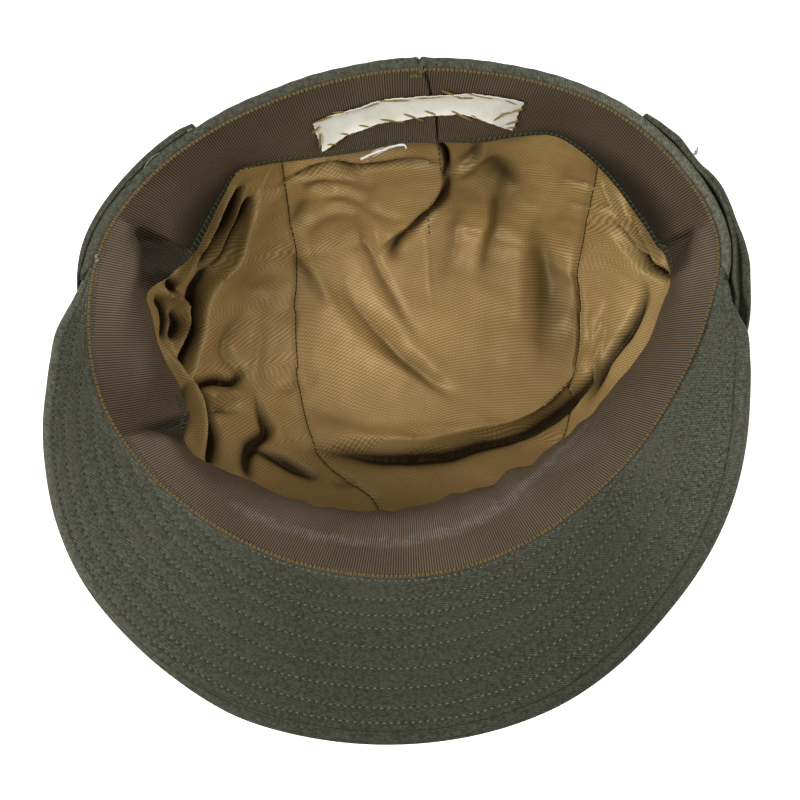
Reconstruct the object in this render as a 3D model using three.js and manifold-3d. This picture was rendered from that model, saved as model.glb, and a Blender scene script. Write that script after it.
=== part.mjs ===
// Peaked wool field cap, lying upside down on its flattened crown with the
// head opening facing up.  Millimetres, +Z up.  The origin is the middle of
// the flat where the crown rests, under the axis of the head opening; the
// peak points along -Y.  "Left" and "right" are the wearer's, and the
// wearer's left is -X while the cap lies this way up.
//
// Angles are measured round the head axis in degrees: 0 is the front of the
// cap (-Y), 90 its right side (+X) and 180 the back (+Y).

import * as THREE from "three";
import { mergeVertices } from "three/addons/utils/BufferGeometryUtils.js";
import Module from "manifold-3d";

const wasm = await Module();
wasm.setup();

// ---------------------------------------------------------------------------
// Driving dimensions
// ---------------------------------------------------------------------------

const rimHeight = 84;            // head opening above the flattened crown
const sewnGap = 0.4;             // space kept between pieces sewn together
const seamMargin = 0.27;         // each panel stops this far short of its seam, in plan
const columnStep = 6;            // degrees between the columns of every mesh

const woolThickness = 2;         // crown and side band, cloth with its facing
const rimRoll = 4.8;             // outside of the side band beyond the stitch line
const hemDepth = 1.6;            // turned-in edge of the side band at the rim
const bandHeight = 34;           // side band, from the rim towards the crown
const cuffThickness = 2.6;       // folded cloth, two plies
const cuffFoot = 42;             // height of the cuff's rolled lower edge
const cuffStart = -133;          // free ends of the cuff, at the side-back
const cuffEnd = 127;

const liningThickness = 1;
const liningTop = 80;            // the lining ends under the sweatband's seam

const ribbonWidth = 38;          // sweatband below its stitch line
const ribbonEdge = 1.25;         // sweatband beyond its stitch line
const ribbonThickness = 1;

const coverThickness = 1.9;      // each of the peak's two covers
const peakCorner = 99.5;         // the peak ends this far round on both sides
const underPeakDrop = 4.7;       // band and cuff stop this far below the rim there
const cornerClear = [0.5, 1.3, 2.1];   // beyond a corner: still low, risen, hemmed

const tapeThickness = 1;         // white cotton tapes, slightly fluffed up
const flatCentre = new THREE.Vector2(12, 3);   // the crown leans to its right
const flatHalfWidth = 52;        // flattened part of the crown
const flatHalfLength = 37;
const flatSquareness = 2.4;      // 2 would be an ellipse

// ---------------------------------------------------------------------------
// Tables
// ---------------------------------------------------------------------------

function table(columns, ...rows) {
  return rows.map((row) => Object.fromEntries(columns.map((name, i) => [name, row[i]])));
}

// Stitch line that joins the sweatband to the rim, by its distance from the
// head axis.  A worn cap is no true oval: its left front and right back bulge.
const stitchLine = table(["angle", "radius"],
  [-180, 79.7], [-165, 79.2], [-150, 81.0], [-135, 85.6],
  [-120, 92.2], [-105, 98.3], [-90, 99.6], [-75, 98.4],
  [-60, 93.6], [-45, 88.3], [-30, 84.3], [-15, 81.4],
  [0, 80.0], [15, 79.4], [30, 79.1], [45, 80.0],
  [60, 82.9], [75, 87.3], [90, 94.4], [105, 101.6],
  [120, 98.8], [135, 93.6], [150, 87.0], [165, 82.0]);

// Wall of the crown and side band from the rim down to the flat: reach is 1 at
// the rim and 0 where the flat begins.
const wallProfile = table(["height", "reach"],
  [84, 1], [61, 0.955], [50, 0.905], [39, 0.82], [26, 0.635], [13, 0.385], [4.5, 0.18], [1, 0.06],
  [0, 0]);

// How the sweatband leans into the head opening: how far its free edge lies
// inside the stitch line, and how much its middle bulges inwards.  It buckles
// beside both corners of the peak and has a dent at the left front.
const ribbonLean = table(["angle", "inset", "belly"],
  [-180, 17.2, 0], [-165, 17.6, 0], [-150, 14.6, 0], [-135, 10.6, 0],
  [-120, 18.4, 0], [-110, 22.0, 0], [-105, 19.0, 1], [-100, 13.0, 3],
  [-90, 16.6, 4], [-80, 19.6, 3.5], [-73, 20.4, 1], [-65, 13.0, 1],
  [-57, 12.4, 3], [-45, 15.6, 4], [-25, 17.6, 5], [-8, 18.8, 5],
  [15, 21.0, 5], [32, 19.6, 5], [50, 18.0, 5], [70, 14.6, 5],
  [88, 10.8, 4.5], [100, 9.4, 4.5], [105, 10.4, 2], [110, 14.0, 0],
  [120, 13.8, 0], [130, 11.6, 0], [143, 8.4, 0], [158, 15.8, 0]);

// Peak, measured outwards from the rim: its depth in plan, how steeply it
// rises, and the margin by which the top cover is rolled over the edge.
const peakShape = table(["angle", "reach", "slope", "roll"],
  [-99.5, 4.6, 58, 1.0], [-90, 9.4, 56, 1.2], [-80, 14.2, 53, 1.4], [-70, 20.4, 49, 1.6],
  [-60, 29.2, 45, 1.8], [-50, 36.8, 41, 2.0], [-40, 42.2, 38, 2.2], [-30, 46.6, 35, 2.4],
  [-20, 49.6, 32, 2.6], [0, 50.0, 31, 2.7], [20, 48.0, 32, 2.9], [30, 45.2, 35, 3.1],
  [40, 41.2, 38, 3.4], [50, 37.0, 41, 3.7], [60, 31.6, 45, 4.0], [70, 25.2, 49, 4.2],
  [80, 19.0, 53, 4.2], [90, 12.6, 56, 4.0], [99.5, 4.6, 58, 3.0]);

// Cuff: how far it stands off the side band at its top and at its foot.
const cuffStandOff = table(["angle", "top", "foot"],
  [-133, 0.4, 1.2], [-110, 0.4, 1.6], [-80, 0.4, 2.0], [0, 0.4, 2.0],
  [75, 0.6, 2.4], [95, 2.4, 3.6], [108, 1.2, 2.4], [127, 0.4, 1.2]);

// Seams between the three panels of the crown and of its lining, as half the
// width of the centre panel; it narrows to a tongue above the peak.
const centrePanel = table(["y", "halfWidth"],
  [96, 58], [60, 55.5], [30, 52], [0, 51], [-28, 49], [-38, 46], [-48, 39], [-54, 31],
  [-60, 23], [-70, 20], [-96, 18]);

// Folds in the slack lining: each is a soft ridge between two places in plan.
const liningFolds = table(["name", "fromX", "fromY", "toX", "toY", "width", "height"],
  ["arch at the left back", -42, 40, -15, 50, 6, 4],
  ["left of the centre", -15, 44, 1, 6, 6, 5],
  ["long diagonal", -2, 22, 26, -10, 7, 5],
  ["arch at the right back", 20, 54, 28, 32, 6, 4],
  ["right of the centre", 46, 16, 52, -10, 7, 3],
  ["bulge before the front seam", -28, -29, 20, -30, 7, 4],
  ["bulge at the right front", 20, -30, 52, -15, 7, 4],
  ["front wall", -20, -56, 30, -54, 7, 3],
  ["left floor edge", -56, 34, -58, -4, 8, 5],
  ["left front hollow rim", -54, -16, -46, -36, 7, 5],
  ["pleat under the left back edge", -58, 50, -76, 20, 5, 5],
  ["strip under the left front edge", -80, -8, -68, -36, 5, 4],
  ["right wall, back", 76, 36, 86, 16, 5, 5],
  ["right wall, front", 82, -2, 66, -26, 6, 5]);

// White tapes on the sweatband: reach round the band and up and down it.
const tapePlaces = table(["name", "from", "to", "upper", "lower", "side"],
  ["name_tape", 150, 204, 9.6, 22.3, 1],
  ["inner_tag", 180, 192, 33, 41, -1]);

// ---------------------------------------------------------------------------
// Interpolation
// ---------------------------------------------------------------------------

const radians = THREE.MathUtils.degToRad;
const mix = THREE.MathUtils.lerp;

// Brings an angle into the half-open turn from -180 to 180.
function wrap(angle) {
  return THREE.MathUtils.euclideanModulo(angle + 180, 360) - 180;
}

// Smooth value of a column between the rows of a table.  A table that goes
// once round the cap joins its last row to its first.
function smooth(rows, column, angle, closed = false) {
  const count = rows.length;
  const key = closed ? wrap(angle) : angle;
  const at = (i) => {
    if (!closed) {
      return rows[THREE.MathUtils.clamp(i, 0, count - 1)];
    }
    const turns = Math.floor(i / count);
    const row = rows[i - turns * count];
    return { ...row, angle: row.angle + 360 * turns };
  };
  let i = 0;
  while (i < count - (closed ? 1 : 2) && at(i + 1).angle <= key) {
    i += 1;
  }
  const [before, start, end, after] = [at(i - 1), at(i), at(i + 1), at(i + 2)];
  const span = end.angle - start.angle;
  const t = THREE.MathUtils.clamp((key - start.angle) / span, 0, 1);
  const startSlope = (end[column] - before[column]) / (end.angle - before.angle) * span;
  const endSlope = (after[column] - start[column]) / (after.angle - start.angle) * span;
  const t2 = t * t;
  const t3 = t2 * t;
  return (2 * t3 - 3 * t2 + 1) * start[column] + (t3 - 2 * t2 + t) * startSlope
    + (3 * t2 - 2 * t3) * end[column] + (t3 - t2) * endSlope;
}

// The angles of the mesh columns from one angle to another, ends included.
function columnAngles(from, to) {
  const margin = columnStep * 0.2;
  const angles = [from];
  for (let a = Math.ceil((from + margin) / columnStep) * columnStep; a < to - margin; a += columnStep) {
    angles.push(a);
  }
  angles.push(to);
  return angles;
}

const fullTurn = Array.from({ length: 360 / columnStep }, (_, i) => -180 + i * columnStep);

// Adds the columns where band and cuff rise beside the corners of the peak.
function withCorners(angles) {
  const corners = cornerClear.flatMap((beyond) => [-peakCorner - beyond, peakCorner + beyond]);
  const spaced = angles.filter((angle) => corners.every((corner) => Math.abs(corner - angle) > 0.5));
  return [...spaced, ...corners].sort((a, b) => a - b);
}

function outward(angle) {
  return new THREE.Vector3(Math.sin(radians(angle)), -Math.cos(radians(angle)), 0);
}

// ---------------------------------------------------------------------------
// Building closed bodies
// ---------------------------------------------------------------------------

// A closed body between two grids of points, front and back, each a list of
// columns.  A closed body joins its last column to its first; with a pole, the
// last row of every column is one and the same point.
function sheetBody(front, back, { closed = false, pole = false } = {}) {
  const positions = [];
  const columns = front.length;
  const rows = front[0].length;
  const triangle = (a, b, c) => {
    for (const point of [a, b, c]) {
      positions.push(point.x, point.y, point.z);
    }
  };
  const quad = (a, b, c, d) => {
    triangle(a, b, c);
    triangle(a, c, d);
  };
  for (let i = 0; i < (closed ? columns : columns - 1); i += 1) {
    const n = (i + 1) % columns;
    for (let j = 0; j < rows - 1; j += 1) {
      if (pole && j === rows - 2) {
        triangle(front[i][j], front[i][j + 1], front[n][j]);
        triangle(back[i][j], back[n][j], back[i][j + 1]);
      } else {
        quad(front[i][j], front[i][j + 1], front[n][j + 1], front[n][j]);
        quad(back[i][j], back[n][j], back[n][j + 1], back[i][j + 1]);
      }
    }
    quad(front[i][0], front[n][0], back[n][0], back[i][0]);
    if (!pole) {
      const last = rows - 1;
      quad(front[i][last], back[i][last], back[n][last], front[n][last]);
    }
  }
  if (!closed) {
    const end = columns - 1;
    for (let j = 0; j < rows - 1; j += 1) {
      quad(front[0][j], back[0][j], back[0][j + 1], front[0][j + 1]);
      quad(front[end][j], front[end][j + 1], back[end][j + 1], back[end][j]);
    }
  }
  const geometry = new THREE.BufferGeometry();
  geometry.setAttribute("position", new THREE.Float32BufferAttribute(positions, 3));
  return facingOut(mergeVertices(geometry, 1e-4));
}

// Turns the triangles round if the body's volume comes out negative.
function facingOut(geometry) {
  const position = geometry.attributes.position;
  const index = geometry.index.array;
  const [a, b, c] = [new THREE.Vector3(), new THREE.Vector3(), new THREE.Vector3()];
  let volume = 0;
  for (let i = 0; i < index.length; i += 3) {
    a.fromBufferAttribute(position, index[i]);
    b.fromBufferAttribute(position, index[i + 1]);
    c.fromBufferAttribute(position, index[i + 2]);
    volume += a.dot(b.cross(c));
  }
  if (volume < 0) {
    for (let i = 0; i < index.length; i += 3) {
      [index[i + 1], index[i + 2]] = [index[i + 2], index[i + 1]];
    }
  }
  return geometry;
}

function toSolid(geometry) {
  const bare = geometry.clone();
  bare.deleteAttribute("normal");
  bare.deleteAttribute("uv");
  const welded = mergeVertices(bare, 1e-4);
  return new wasm.Manifold(new wasm.Mesh({
    numProp: 3,
    vertProperties: new Float32Array(welded.attributes.position.array),
    triVerts: new Uint32Array(welded.index.array),
  }));
}

function fromSolid(solid) {
  const mesh = solid.getMesh();
  const geometry = new THREE.BufferGeometry();
  geometry.setAttribute("position", new THREE.Float32BufferAttribute(mesh.vertProperties, 3));
  geometry.setIndex(Array.from(mesh.triVerts));
  return geometry;
}

// ---------------------------------------------------------------------------
// The wall of the cap
// ---------------------------------------------------------------------------

function stitchRadius(angle) {
  return smooth(stitchLine, "radius", angle, true);
}

// Distance from the middle of the flat to its edge.
function flatRadius(angle) {
  const across = Math.abs(Math.sin(radians(angle)) / flatHalfWidth) ** flatSquareness;
  const along = Math.abs(Math.cos(radians(angle)) / flatHalfLength) ** flatSquareness;
  return (across + along) ** (-1 / flatSquareness);
}

function reachAt(height) {
  const rows = wallProfile;
  let i = 0;
  while (i < rows.length - 2 && rows[i + 1].height > height) {
    i += 1;
  }
  const t = (rows[i].height - height) / (rows[i].height - rows[i + 1].height);
  return mix(rows[i].reach, rows[i + 1].reach, t);
}

// A point on the outside of the wall, share of the way out from the axis.
function shellPoint(angle, reach, height, share = 1) {
  const radius = share * mix(flatRadius(angle), stitchRadius(angle) + rimRoll, reach);
  const point = outward(angle).multiplyScalar(radius);
  point.x += flatCentre.x * (1 - reach);
  point.y += flatCentre.y * (1 - reach);
  point.z = height;
  return point;
}

// Unit vector from the wall into the head opening.
function shellInward(angle, height) {
  const probe = 2;
  const upper = Math.min(rimHeight, height + probe);
  const lower = Math.max(0, height - probe);
  const along = shellPoint(angle, reachAt(upper), upper).sub(shellPoint(angle, reachAt(lower), lower));
  const here = reachAt(height);
  const round = shellPoint(angle + 1, here, height).sub(shellPoint(angle - 1, here, height));
  return along.cross(round).normalize();
}

// A point at a depth inside the wall's outer face, or outside it if negative.
function wallPoint(angle, height, depth) {
  const point = shellPoint(angle, reachAt(height), height);
  return point.addScaledVector(shellInward(angle, height), depth);
}

// A cup from a top height down to the middle of the flat, one list of points a
// column.  Floor rings are shares of the flat's radius.
function cupGrid(heights, floorRings, depth, lift = () => 0) {
  return fullTurn.map((angle) => {
    const wall = heights.map((height) => {
      const point = wallPoint(angle, height, depth);
      return point.addScaledVector(shellInward(angle, height), lift(point));
    });
    const floor = floorRings.map((share) => {
      const point = shellPoint(share === 0 ? 0 : angle, 0, depth, share);
      point.z += lift(point);
      return point;
    });
    return [...wall, ...floor];
  });
}

// Region of one panel in plan, as a solid that reaches above and below the cap.
function panelRegion(side) {
  const far = 200;
  const shape = new THREE.Shape();
  const seam = (row, hand, grow) => new THREE.Vector2(flatCentre.x + hand * (row.halfWidth + grow), row.y);
  const points = side === 0
    ? [...centrePanel.map((row) => seam(row, -1, -seamMargin)),
      ...centrePanel.toReversed().map((row) => seam(row, 1, -seamMargin))]
    : [new THREE.Vector2(side * far, centrePanel[0].y),
      ...centrePanel.map((row) => seam(row, side, seamMargin)),
      new THREE.Vector2(side * far, centrePanel.at(-1).y)];
  shape.setFromPoints(points);
  const geometry = new THREE.ExtrudeGeometry(shape, { depth: 2 * rimHeight, bevelEnabled: false });
  geometry.translate(0, 0, -rimHeight / 2);
  return toSolid(geometry);
}

function cutIntoPanels(geometry, names) {
  const shell = toSolid(geometry);
  return [0, -1, 1].map((side, i) => [names[i], fromSolid(shell.intersect(panelRegion(side)))]);
}

// ---------------------------------------------------------------------------
// Sub-parts
// ---------------------------------------------------------------------------

function crownPanels() {
  const top = rimHeight - bandHeight - sewnGap;
  const heights = [top, ...wallProfile.map((row) => row.height).filter((height) => height < top)];
  const rings = [0.55, 0];
  const shell = sheetBody(
    cupGrid(heights, rings, 0),
    cupGrid(heights, rings, woolThickness),
    { closed: true, pole: true },
  );
  return cutIntoPanels(shell, ["crown_center_panel", "crown_side_left", "crown_side_right"]);
}

function foldLift(point) {
  let lift = 0;
  for (const fold of liningFolds) {
    const from = new THREE.Vector2(fold.fromX, fold.fromY);
    const run = new THREE.Vector2(fold.toX, fold.toY).sub(from);
    const offset = new THREE.Vector2(point.x, point.y).sub(from);
    const share = THREE.MathUtils.clamp(offset.dot(run) / run.lengthSq(), 0, 1);
    const distance = offset.addScaledVector(run, -share).length();
    lift += fold.height * Math.exp(-((distance / fold.width) ** 2));
  }
  return lift;
}

function liningPanels() {
  const depth = woolThickness + sewnGap;
  const heights = [liningTop, 61, 50, 39, 26, 19.5, 13, 4.5, 1];
  const rings = [0.8, 0.55, 0.28, 0];
  const shell = sheetBody(
    cupGrid(heights, rings, depth, foldLift),
    cupGrid(heights, rings, depth + liningThickness, foldLift),
    { closed: true, pole: true },
  );
  return cutIntoPanels(shell, ["lining_center_panel", "lining_side_left", "lining_side_right"]);
}

// How many of the steps beside the peak's corner an angle has passed.
function beyondPeak(angle) {
  const tolerance = 0.01;
  return cornerClear.filter((beyond) => Math.abs(wrap(angle)) > peakCorner + beyond - tolerance).length;
}

// Height of the top of band and cuff: lower where the peak is sewn on.
function bandTop(angle) {
  return beyondPeak(angle) > 1 ? rimHeight : rimHeight - underPeakDrop;
}

// Beyond the peak the band's edge is turned in to meet the sweatband.
function sideBand() {
  const foot = rimHeight - bandHeight;
  const hemmed = rimRoll - ribbonEdge - sewnGap;
  const face = (isInner) => withCorners(fullTurn).map((angle) => {
    const top = bandTop(angle);
    const hem = beyondPeak(angle) > 2 ? hemmed : woolThickness;
    return [[top, hem], [top - hemDepth, hem], [top - hemDepth - 0.4, woolThickness], [61, woolThickness],
      [foot, woolThickness]].map(([height, depth]) => wallPoint(angle, height, isInner ? depth : 0));
  });
  return sheetBody(face(false), face(true), { closed: true });
}

// The rolled foot is rounded: the outer face draws in towards it.
function frontCuff() {
  const angles = withCorners(columnAngles(cuffStart, cuffEnd));
  const rounding = 0.9;
  const heights = (angle) => [bandTop(angle) - 0.4, 73, 61, 50, cuffFoot];
  const face = (isOuter) => angles.map((angle) => heights(angle).map((height, i, all) => {
    const top = smooth(cuffStandOff, "top", angle);
    const foot = smooth(cuffStandOff, "foot", angle);
    const standOff = mix(foot, top, (height - cuffFoot) / (rimHeight - cuffFoot));
    const isEdge = i === 0 || i === all.length - 1;
    const outer = standOff + cuffThickness - (isEdge ? rounding : 0);
    return wallPoint(angle, height, isOuter ? -outer : -standOff);
  }));
  return sheetBody(face(true), face(false));
}

// A point on the sweatband's inner face, run millimetres down from its stitch
// line, and proud of that face.
function ribbonPoint(angle, run, proud = 0) {
  const spot = (distance) => {
    const inset = smooth(ribbonLean, "inset", angle, true);
    const belly = smooth(ribbonLean, "belly", angle, true);
    const share = distance / ribbonWidth;
    const drop = Math.sqrt(1 - (inset / ribbonWidth) ** 2);
    const bulge = share > 0 ? belly * Math.sin(Math.PI * Math.min(share, 1)) : 0;
    const point = outward(angle).multiplyScalar(stitchRadius(angle) - inset * share - bulge);
    point.z = rimHeight + 0.6 - (share > 0 ? distance * drop : 0);
    return point;
  };
  const probe = 1.5;
  const upper = spot(run - probe);
  const lower = spot(run + probe);
  const down = lower.sub(upper).normalize();
  const side = new THREE.Vector3().crossVectors(outward(angle), new THREE.Vector3(0, 0, 1));
  const normal = down.cross(side).normalize();
  return spot(run).addScaledVector(normal, proud);
}

function sweatband() {
  const runs = [-ribbonEdge, 0, 13, 26, ribbonWidth];
  const face = (proud) => fullTurn.map((angle) => runs.map((run) => ribbonPoint(angle, run, proud)));
  return sheetBody(face(0), face(-ribbonThickness), { closed: true });
}

// A tape lies on the inner face of the sweatband, or behind it for side -1.
function tape({ from, to, upper, lower, side }) {
  const clear = 1.8 * sewnGap;
  const near = side > 0 ? clear : -ribbonThickness - clear;
  const face = (proud) => columnAngles(from, to).map(
    (angle) => [upper, (upper + lower) / 2, lower].map((run) => ribbonPoint(angle, run, proud)));
  return sheetBody(face(near), face(near + side * tapeThickness));
}

// A point of the peak, share of the way from the rim to its edge, and deep
// below the face that lies under the brow when the cap is worn.
function peakPoint(angle, share, margin, deep) {
  const slope = radians(smooth(peakShape, "slope", angle));
  const reach = smooth(peakShape, "reach", angle);
  const roll = smooth(peakShape, "roll", angle) * margin;
  const startGap = ribbonEdge + sewnGap;
  const start = stitchRadius(angle) + startGap;
  const along = share * ((reach - startGap) / Math.cos(slope) - roll);
  const point = outward(angle).multiplyScalar(start + along * Math.cos(slope) + deep * Math.sin(slope));
  point.z = rimHeight + along * Math.sin(slope) - deep * Math.cos(slope);
  return point;
}

function peakCover(margin, upper, lower) {
  const shares = [0, 0.35, 0.7, 1];
  const angles = columnAngles(-peakCorner, peakCorner);
  const face = (deep) => angles.map((angle) => shares.map((share) => peakPoint(angle, share, margin, deep)));
  return sheetBody(face(upper), face(lower));
}

// ---------------------------------------------------------------------------
// Assembly
// ---------------------------------------------------------------------------

const finishes = {
  wool: new THREE.MeshStandardMaterial({ color: 0x4b4b3c, roughness: 0.95, metalness: 0 }),
  ribbon: new THREE.MeshStandardMaterial({ color: 0x524637, roughness: 0.85, metalness: 0 }),
  lining: new THREE.MeshStandardMaterial({ color: 0x8a6f45, roughness: 0.5, metalness: 0 }),
  tape: new THREE.MeshStandardMaterial({ color: 0xdfd4c4, roughness: 0.9, metalness: 0 }),
};

function peakCovers() {
  const between = 0.5;
  return [
    ["peak_under", peakCover(1, 0, coverThickness)],
    ["peak_top", peakCover(0, coverThickness + between, 2 * coverThickness + between)],
  ];
}

const pieces = [
  ...crownPanels().map((piece) => [...piece, finishes.wool]),
  ["side_band", sideBand(), finishes.wool],
  ["front_cuff", frontCuff(), finishes.wool],
  ...peakCovers().map((piece) => [...piece, finishes.wool]),
  ["sweatband", sweatband(), finishes.ribbon],
  ...liningPanels().map((piece) => [...piece, finishes.lining]),
  ...tapePlaces.map((place) => [place.name, tape(place), finishes.tape]),
];

const cap = new THREE.Group();
cap.name = "peaked_cap";
for (const [name, geometry, finish] of pieces) {
  const mesh = new THREE.Mesh(geometry, finish.clone());
  mesh.name = name;
  cap.add(mesh);
}

export default cap;
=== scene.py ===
"""Looks of a peaked wool field cap that lies upside down on its crown.

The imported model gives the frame, in metres.  The shapes below are worked out
in millimetres from the same driving dimensions as the solids, and turned to
metres when a mesh is made.  Angles run round the head axis in degrees: 0 is
the front of the cap (-Y), 90 its right side (+X), 180 the back (+Y).
"""

import math

import bpy
import numpy as np
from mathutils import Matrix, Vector


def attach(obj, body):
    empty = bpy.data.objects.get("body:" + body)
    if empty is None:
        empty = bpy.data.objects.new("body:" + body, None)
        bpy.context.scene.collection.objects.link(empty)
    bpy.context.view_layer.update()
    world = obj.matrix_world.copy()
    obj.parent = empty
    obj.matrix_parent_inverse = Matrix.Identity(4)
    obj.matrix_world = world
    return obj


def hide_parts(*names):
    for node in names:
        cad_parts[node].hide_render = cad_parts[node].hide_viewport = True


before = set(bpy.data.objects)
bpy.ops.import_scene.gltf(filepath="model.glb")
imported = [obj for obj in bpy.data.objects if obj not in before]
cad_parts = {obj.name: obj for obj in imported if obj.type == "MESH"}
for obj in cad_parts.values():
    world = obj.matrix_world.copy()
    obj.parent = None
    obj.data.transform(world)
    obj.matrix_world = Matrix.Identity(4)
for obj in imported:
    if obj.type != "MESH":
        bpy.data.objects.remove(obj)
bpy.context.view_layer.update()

MM = 0.001

# ---------------------------------------------------------------------------
# Driving dimensions, in millimetres
# ---------------------------------------------------------------------------

RIM_HEIGHT = 84.0            # head opening above the flattened crown
RIM_ROLL = 4.8               # outside of the side band beyond the stitch line
BAND_HEIGHT = 34.0           # side band, from the rim towards the crown
BAND_HEM = 2.2               # radius of the side band's hem
BACK_SEAM = 177.0            # the side band is joined at the back
RIBBON_WIDTH = 38.0          # sweatband below its stitch line
RIBBON_EDGE = 0.8            # sweatband beyond its stitch line
RIBBON_LIFT = 0.6            # stitch line above the rim of the wool
LINING_DEPTH = 3.2           # lining's visible face inside the crown's outer face
LINING_FLOOR = 2.7           # no fold sinks nearer to the wool than this
LINING_TOP = 139.0           # station where the lining ends, under the sweatband
CROWN_TOP = 113.6            # station where the crown ends, under the side band
PEAK_CORNER = 99.7           # the peak ends this far round on both sides
PEAK_START = 1.65            # the peak starts this far beyond the stitch line
PEAK_SEAT = 4.7              # the side band is lower by this where the peak sits on it
PEAK_UNROLL = 0.76           # cosine of the peak's usual slope
FLAT_CENTRE = (12.0, 3.0)    # the crown leans to its right
FLAT_HALF = (52.0, 37.0)     # half the width and length of the flattened crown
FLAT_SQUARENESS = 2.4        # 2 would be an ellipse
FLAT_STATION = 45.0          # station of the edge of the flat
RIM_STATION = 148.6          # station of the rim
TAPE_WIDTH = 12.7            # name tape, a half-inch cotton tape
TAPE_DEGREE = 1.75           # length of one degree along the name tape

# Thickness of each cloth behind its visible face.
RIBBON_THICKNESS = 0.7
LINING_THICKNESS = 0.5
BAND_THICKNESS = 1.5
CUFF_THICKNESS = 0.6
PEAK_UNDER_THICKNESS = 1.3
PEAK_TOP_THICKNESS = 0.9
CROWN_THICKNESS = 1.7
TAPE_THICKNESS = 0.3
TAG_THICKNESS = 0.25

# How finely each sheet is drawn: columns round the head or along the cloth,
# and rows down it.  Each piece stays under 200,000 triangles.
RIBBON_COLUMNS = 430
BAND_COLUMNS = 480
CUFF_COLUMNS = 420
PEAK_UNDER_GRID = (330, 86)
PEAK_TOP_GRID = (320, 40)
LINING_ROWS = 208
LINING_COLUMNS = {"center_panel": 140, "side_left": 162, "side_right": 162}
CROWN_ROWS = 96
CROWN_COLUMNS = {"center_panel": 90, "side_left": 60, "side_right": 50}
TAPE_GRID = (220, 26)
TAG_GRID = (70, 7)

# The panels of crown and lining, and the side of the middle each lies on.
PANELS = (("center_panel", 0), ("side_left", -1), ("side_right", 1))


def table(columns, *rows):
    """Named columns of numbers; the first column is the one they are read by."""
    return {name: np.array([row[i] for row in rows], float) for i, name in enumerate(columns)}


STITCH_LINE = table(
    ("angle", "radius"),
    (-180, 79.7), (-165, 79.2), (-150, 81.0), (-135, 85.6), (-120, 92.2), (-105, 98.3),
    (-90, 99.6), (-75, 98.4), (-60, 93.6), (-45, 88.3), (-30, 84.3), (-15, 81.4),
    (0, 80.0), (15, 79.4), (30, 79.1), (45, 80.0), (60, 82.9), (75, 87.3),
    (90, 94.4), (105, 101.6), (120, 98.8), (135, 93.6), (150, 87.0), (165, 82.0))

# Section of the wall.  A station is the length along the cloth from the middle
# of the flat; reach is 0 at the edge of the flat and 1 at the rim.
WALL = table(
    ("station", "reach", "height"),
    (0, 0, 0), (45, 0, 0), (48.2, 0.06, 1), (55.1, 0.18, 4.5), (68.4, 0.385, 13), (86.4, 0.635, 26),
    (102.4, 0.82, 39), (114.2, 0.905, 50), (125.5, 0.955, 61), (RIM_STATION, 1, RIM_HEIGHT))

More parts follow.
